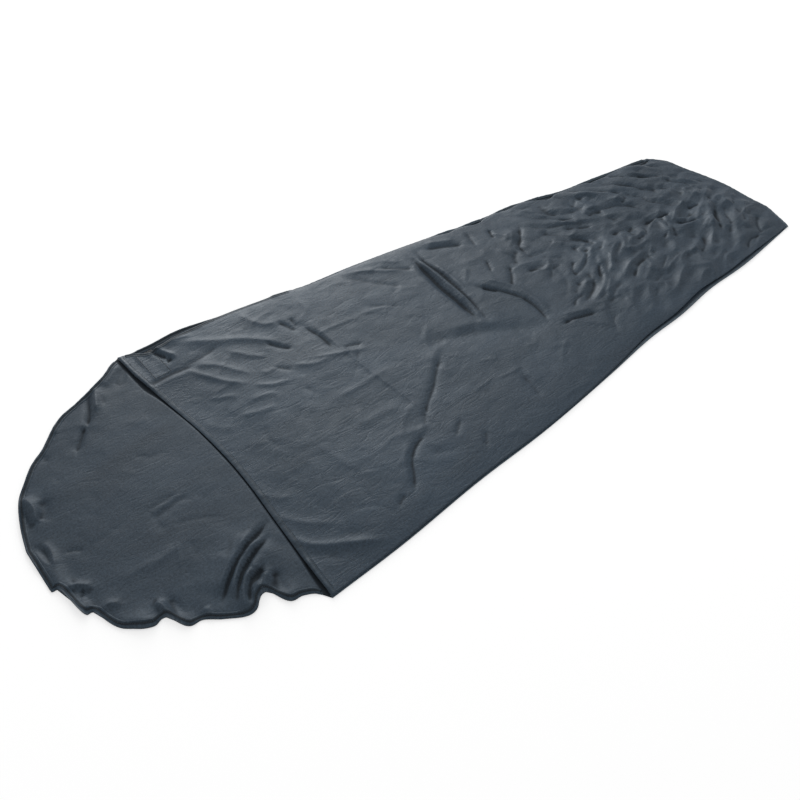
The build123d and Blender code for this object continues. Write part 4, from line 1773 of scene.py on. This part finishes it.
@dataclass
class Seams:
    """The rolled seams down both sides and across the foot, the slit's back hem, and their stitches.

    Attributes:
        near: The near side's seam.
        far: The far side's seam, below the slit.
        foot: The foot's seam, round both corners.
        slit_hem: The slit's hem on the back cloth.
        stitch_inset: How far in from the edge the stitches run.
        bartack: The width and the spacing of the bartack's threads.
    """

    near: Band = Band("near_seam", "seam_cloth", Section.ROLLED, 9 * MM, 1.2 * MM)
    far: Band = Band("far_seam", "seam_cloth", Section.ROLLED, 9 * MM, 3.0 * MM)
    foot: Band = Band("foot_seam", "seam_cloth", Section.ROLLED, 13 * MM, 2.2 * MM, 0.6)
    slit_hem: Band = Band("slit_back_hem", "hem_cloth", Section.HEM, 12 * MM, 1.0 * MM)
    stitch_inset: float = 5 * MM
    bartack: tuple[float, float] = (3.0 * MM, 0.8 * MM)

    def sides(self, back: BackCloth) -> dict[str, Array]:
        """Divides the back cloth's edge into the seams' and the hem's lines.

        Args:
            back: The back cloth as laid.

        Returns:
            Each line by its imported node, from the mouth to the foot or from the far side to the near.
        """
        points = back.grid.points[..., :2]
        near_edge, far_edge = points[:, 0], points[:, -1]
        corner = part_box("foot_seam")[0].x
        slit_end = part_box("slit_back_hem")[1].x
        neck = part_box("near_seam")[0].x
        return {
            "near_seam": near_edge[(near_edge[:, 0] > neck) & (near_edge[:, 0] < corner)],
            "far_seam": far_edge[(far_edge[:, 0] > slit_end + 0.012) & (far_edge[:, 0] < corner)],
            "foot_seam": np.concatenate([far_edge[far_edge[:, 0] > corner], points[-1, -2:0:-1],
                                         near_edge[near_edge[:, 0] > corner][::-1]]),
            "slit_back_hem": far_edge[(far_edge[:, 0] > neck) & (far_edge[:, 0] < slit_end)],
        }

    def build(self, bench: Bench) -> list[Piece]:
        """Sews the seams, the slit's back hem, the rows of stitches and the bartack.

        Args:
            bench: What they are made of and sewn to.

        Returns:
            All the pieces.
        """
        lines = self.sides(bench.back)
        drape = Drape(bench.back_piece)
        bands = [band.build(lines[band.name], band.name == "near_seam", drape, bench.finishes)
                 for band in (self.near, self.far, self.foot, self.slit_hem)]
        over = Drape(bench.back_piece, bench.front_piece, *bands[:2])
        rows_made = []
        for name in ("near_seam", "far_seam"):
            line = beside(lines[name], name == "near_seam", self.stitch_inset)
            row = bench.rows.sew(name + "_stitches", line[3:-1], over)
            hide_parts(name + "_thread")
            rows_made.append(row)
        low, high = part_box("slit_bartack")
        middle = (low + high) / 2
        width, spacing = self.bartack
        bar = np.array([(low.x, middle.y), (high.x, middle.y)])
        tack = bench.rows.sew("slit_bartack_threads", evenly(bar, 1.5 * MM, 0), over, pitch=spacing,
                              stitch=(spacing * 1.1, width, 0.9 * MM))
        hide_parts("slit_bartack")
        rows_made.append(tack)
        for piece in bands + rows_made:
            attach(piece, Body.BAG.value)
        return bands + rows_made


# ---- The studio ----------------------------------------------------------------------------------


@dataclass(frozen=True)
class Studio:
    """A plain white room with soft lights, and the camera.

    Attributes:
        eye: Where the camera stands, in metres.
        heading: Its compass direction, as a unit vector in plan.
        pitch: How far down it looks, in degrees.
        lens: Its focal length in millimetres, on a 36 mm sensor.
        fill: How bright the room is.
        key: The power of the big light over the foot.
        floor_glow: How much the floor shines by itself, so that it stays white under soft light.
        floor_half: Half the floor's side.
        floor_height: Its height, just clear of the cloth.
    """

    eye: tuple[float, float, float] = (-1.188, -1.217, 1.391)
    heading: Point = (0.6355, 0.7721)
    pitch: float = 43.96
    lens: float = 39.57
    fill: float = 0.43
    key: float = 205.0
    floor_glow: float = 0.5
    floor_half: float = 9.0
    floor_height: float = -0.6 * MM

    def camera(self) -> Piece:
        """Sets up the camera.

        Returns:
            The camera.
        """
        data = bpy.data.cameras.new("camera")
        data.lens, data.sensor_width = self.lens, 36.0
        camera = linked("camera", data)
        camera.location = self.eye
        turn = math.atan2(self.heading[1], self.heading[0]) - math.pi / 2
        camera.rotation_euler = Euler((math.radians(90 - self.pitch), 0.0, turn))
        bpy.context.scene.camera = camera
        return camera

    def light(self, name: str, place: Point, height: float, size: float, power: float) -> Piece:
        """Hangs a square soft light, turned to the bag's middle.

        Args:
            name: The light's name.
            place: Where it hangs in plan.
            height: How high.
            size: Its side.
            power: Its power in watts.

        Returns:
            The light.
        """
        data = bpy.data.lights.new(name, "AREA")
        data.energy, data.size = power, size
        lamp = linked(name, data)
        lamp.location = (*place, height)
        lamp.rotation_euler = (-Vector((*place, height))).to_track_quat("-Z", "Y").to_euler()
        return lamp

    def floor(self) -> Piece:
        """Lays the pale floor.

        Returns:
            The floor.
        """
        material, n = start_material("pale_floor")
        n.surface(Base_Color=(0.9, 0.9, 0.9, 1.0), Roughness=0.9, Specular_IOR_Level=0.0,
                  Emission_Color=(1.0, 1.0, 1.0, 1.0), Emission_Strength=self.floor_glow)
        floor = new_object("floor", square_mesh("floor", self.floor_half, self.floor_height), material)
        return floor

    def build(self) -> None:
        """Sets up the room, the lights and the camera."""
        world = bpy.data.worlds.new("room")
        world.use_nodes = True
        n = Nodes(world.node_tree)
        glow = n.add("ShaderNodeBackground", {"Color": (1.0, 1.0, 1.0, 1.0), "Strength": self.fill})
        n.add("ShaderNodeOutputWorld", {0: glow.outputs[0]})
        scene = bpy.context.scene
        scene.world = world
        scene.view_settings.view_transform = "Standard"
        self.camera()
        self.light("key_light", (2.6, 7.0), 2.8, 4.0, self.key)
        self.light("back_light", (3.4, 3.6), 4.6, 3.0, self.key * 0.2)
        self.floor()


def main() -> None:
    """Builds the bag piece by piece, then the studio round it."""
    studio = Studio()
    studio.build()
    finishes = {"hem_cloth": SHADED_HEM_CLOTH.material(), "seam_cloth": LIT_SEAM_CLOTH.material()}
    rows = StitchRow(THREAD.material())
    back, front = BackCloth(), FrontCloth()
    back_cloth, front_cloth = back.build(), front.build()
    bench = Bench(back, front, back_cloth, front_cloth, finishes, rows)
    hood_pieces = HoodHem().build(bench)
    mouth_pieces = Mouth().build(bench)
    seam_pieces = Seams().build(bench)
    hooks = TapePatch("hook_patch", "hook_tape", False).build(
        Drape(front_cloth), Pile("hook_pile", 250.0, HOOK_TAPE.material()))
    loops = TapePatch("loop_patch", "loop_tape", True).build(
        Drape(back_cloth), Pile("loop_pile", 350.0, LOOP_TAPE.material()))
    for piece in [back_cloth, front_cloth, *hood_pieces, *mouth_pieces, *seam_pieces, hooks, loops]:
        log.info("%s: %d faces", piece.name, len(piece.data.polygons))


if __name__ == "__main__":
    main()
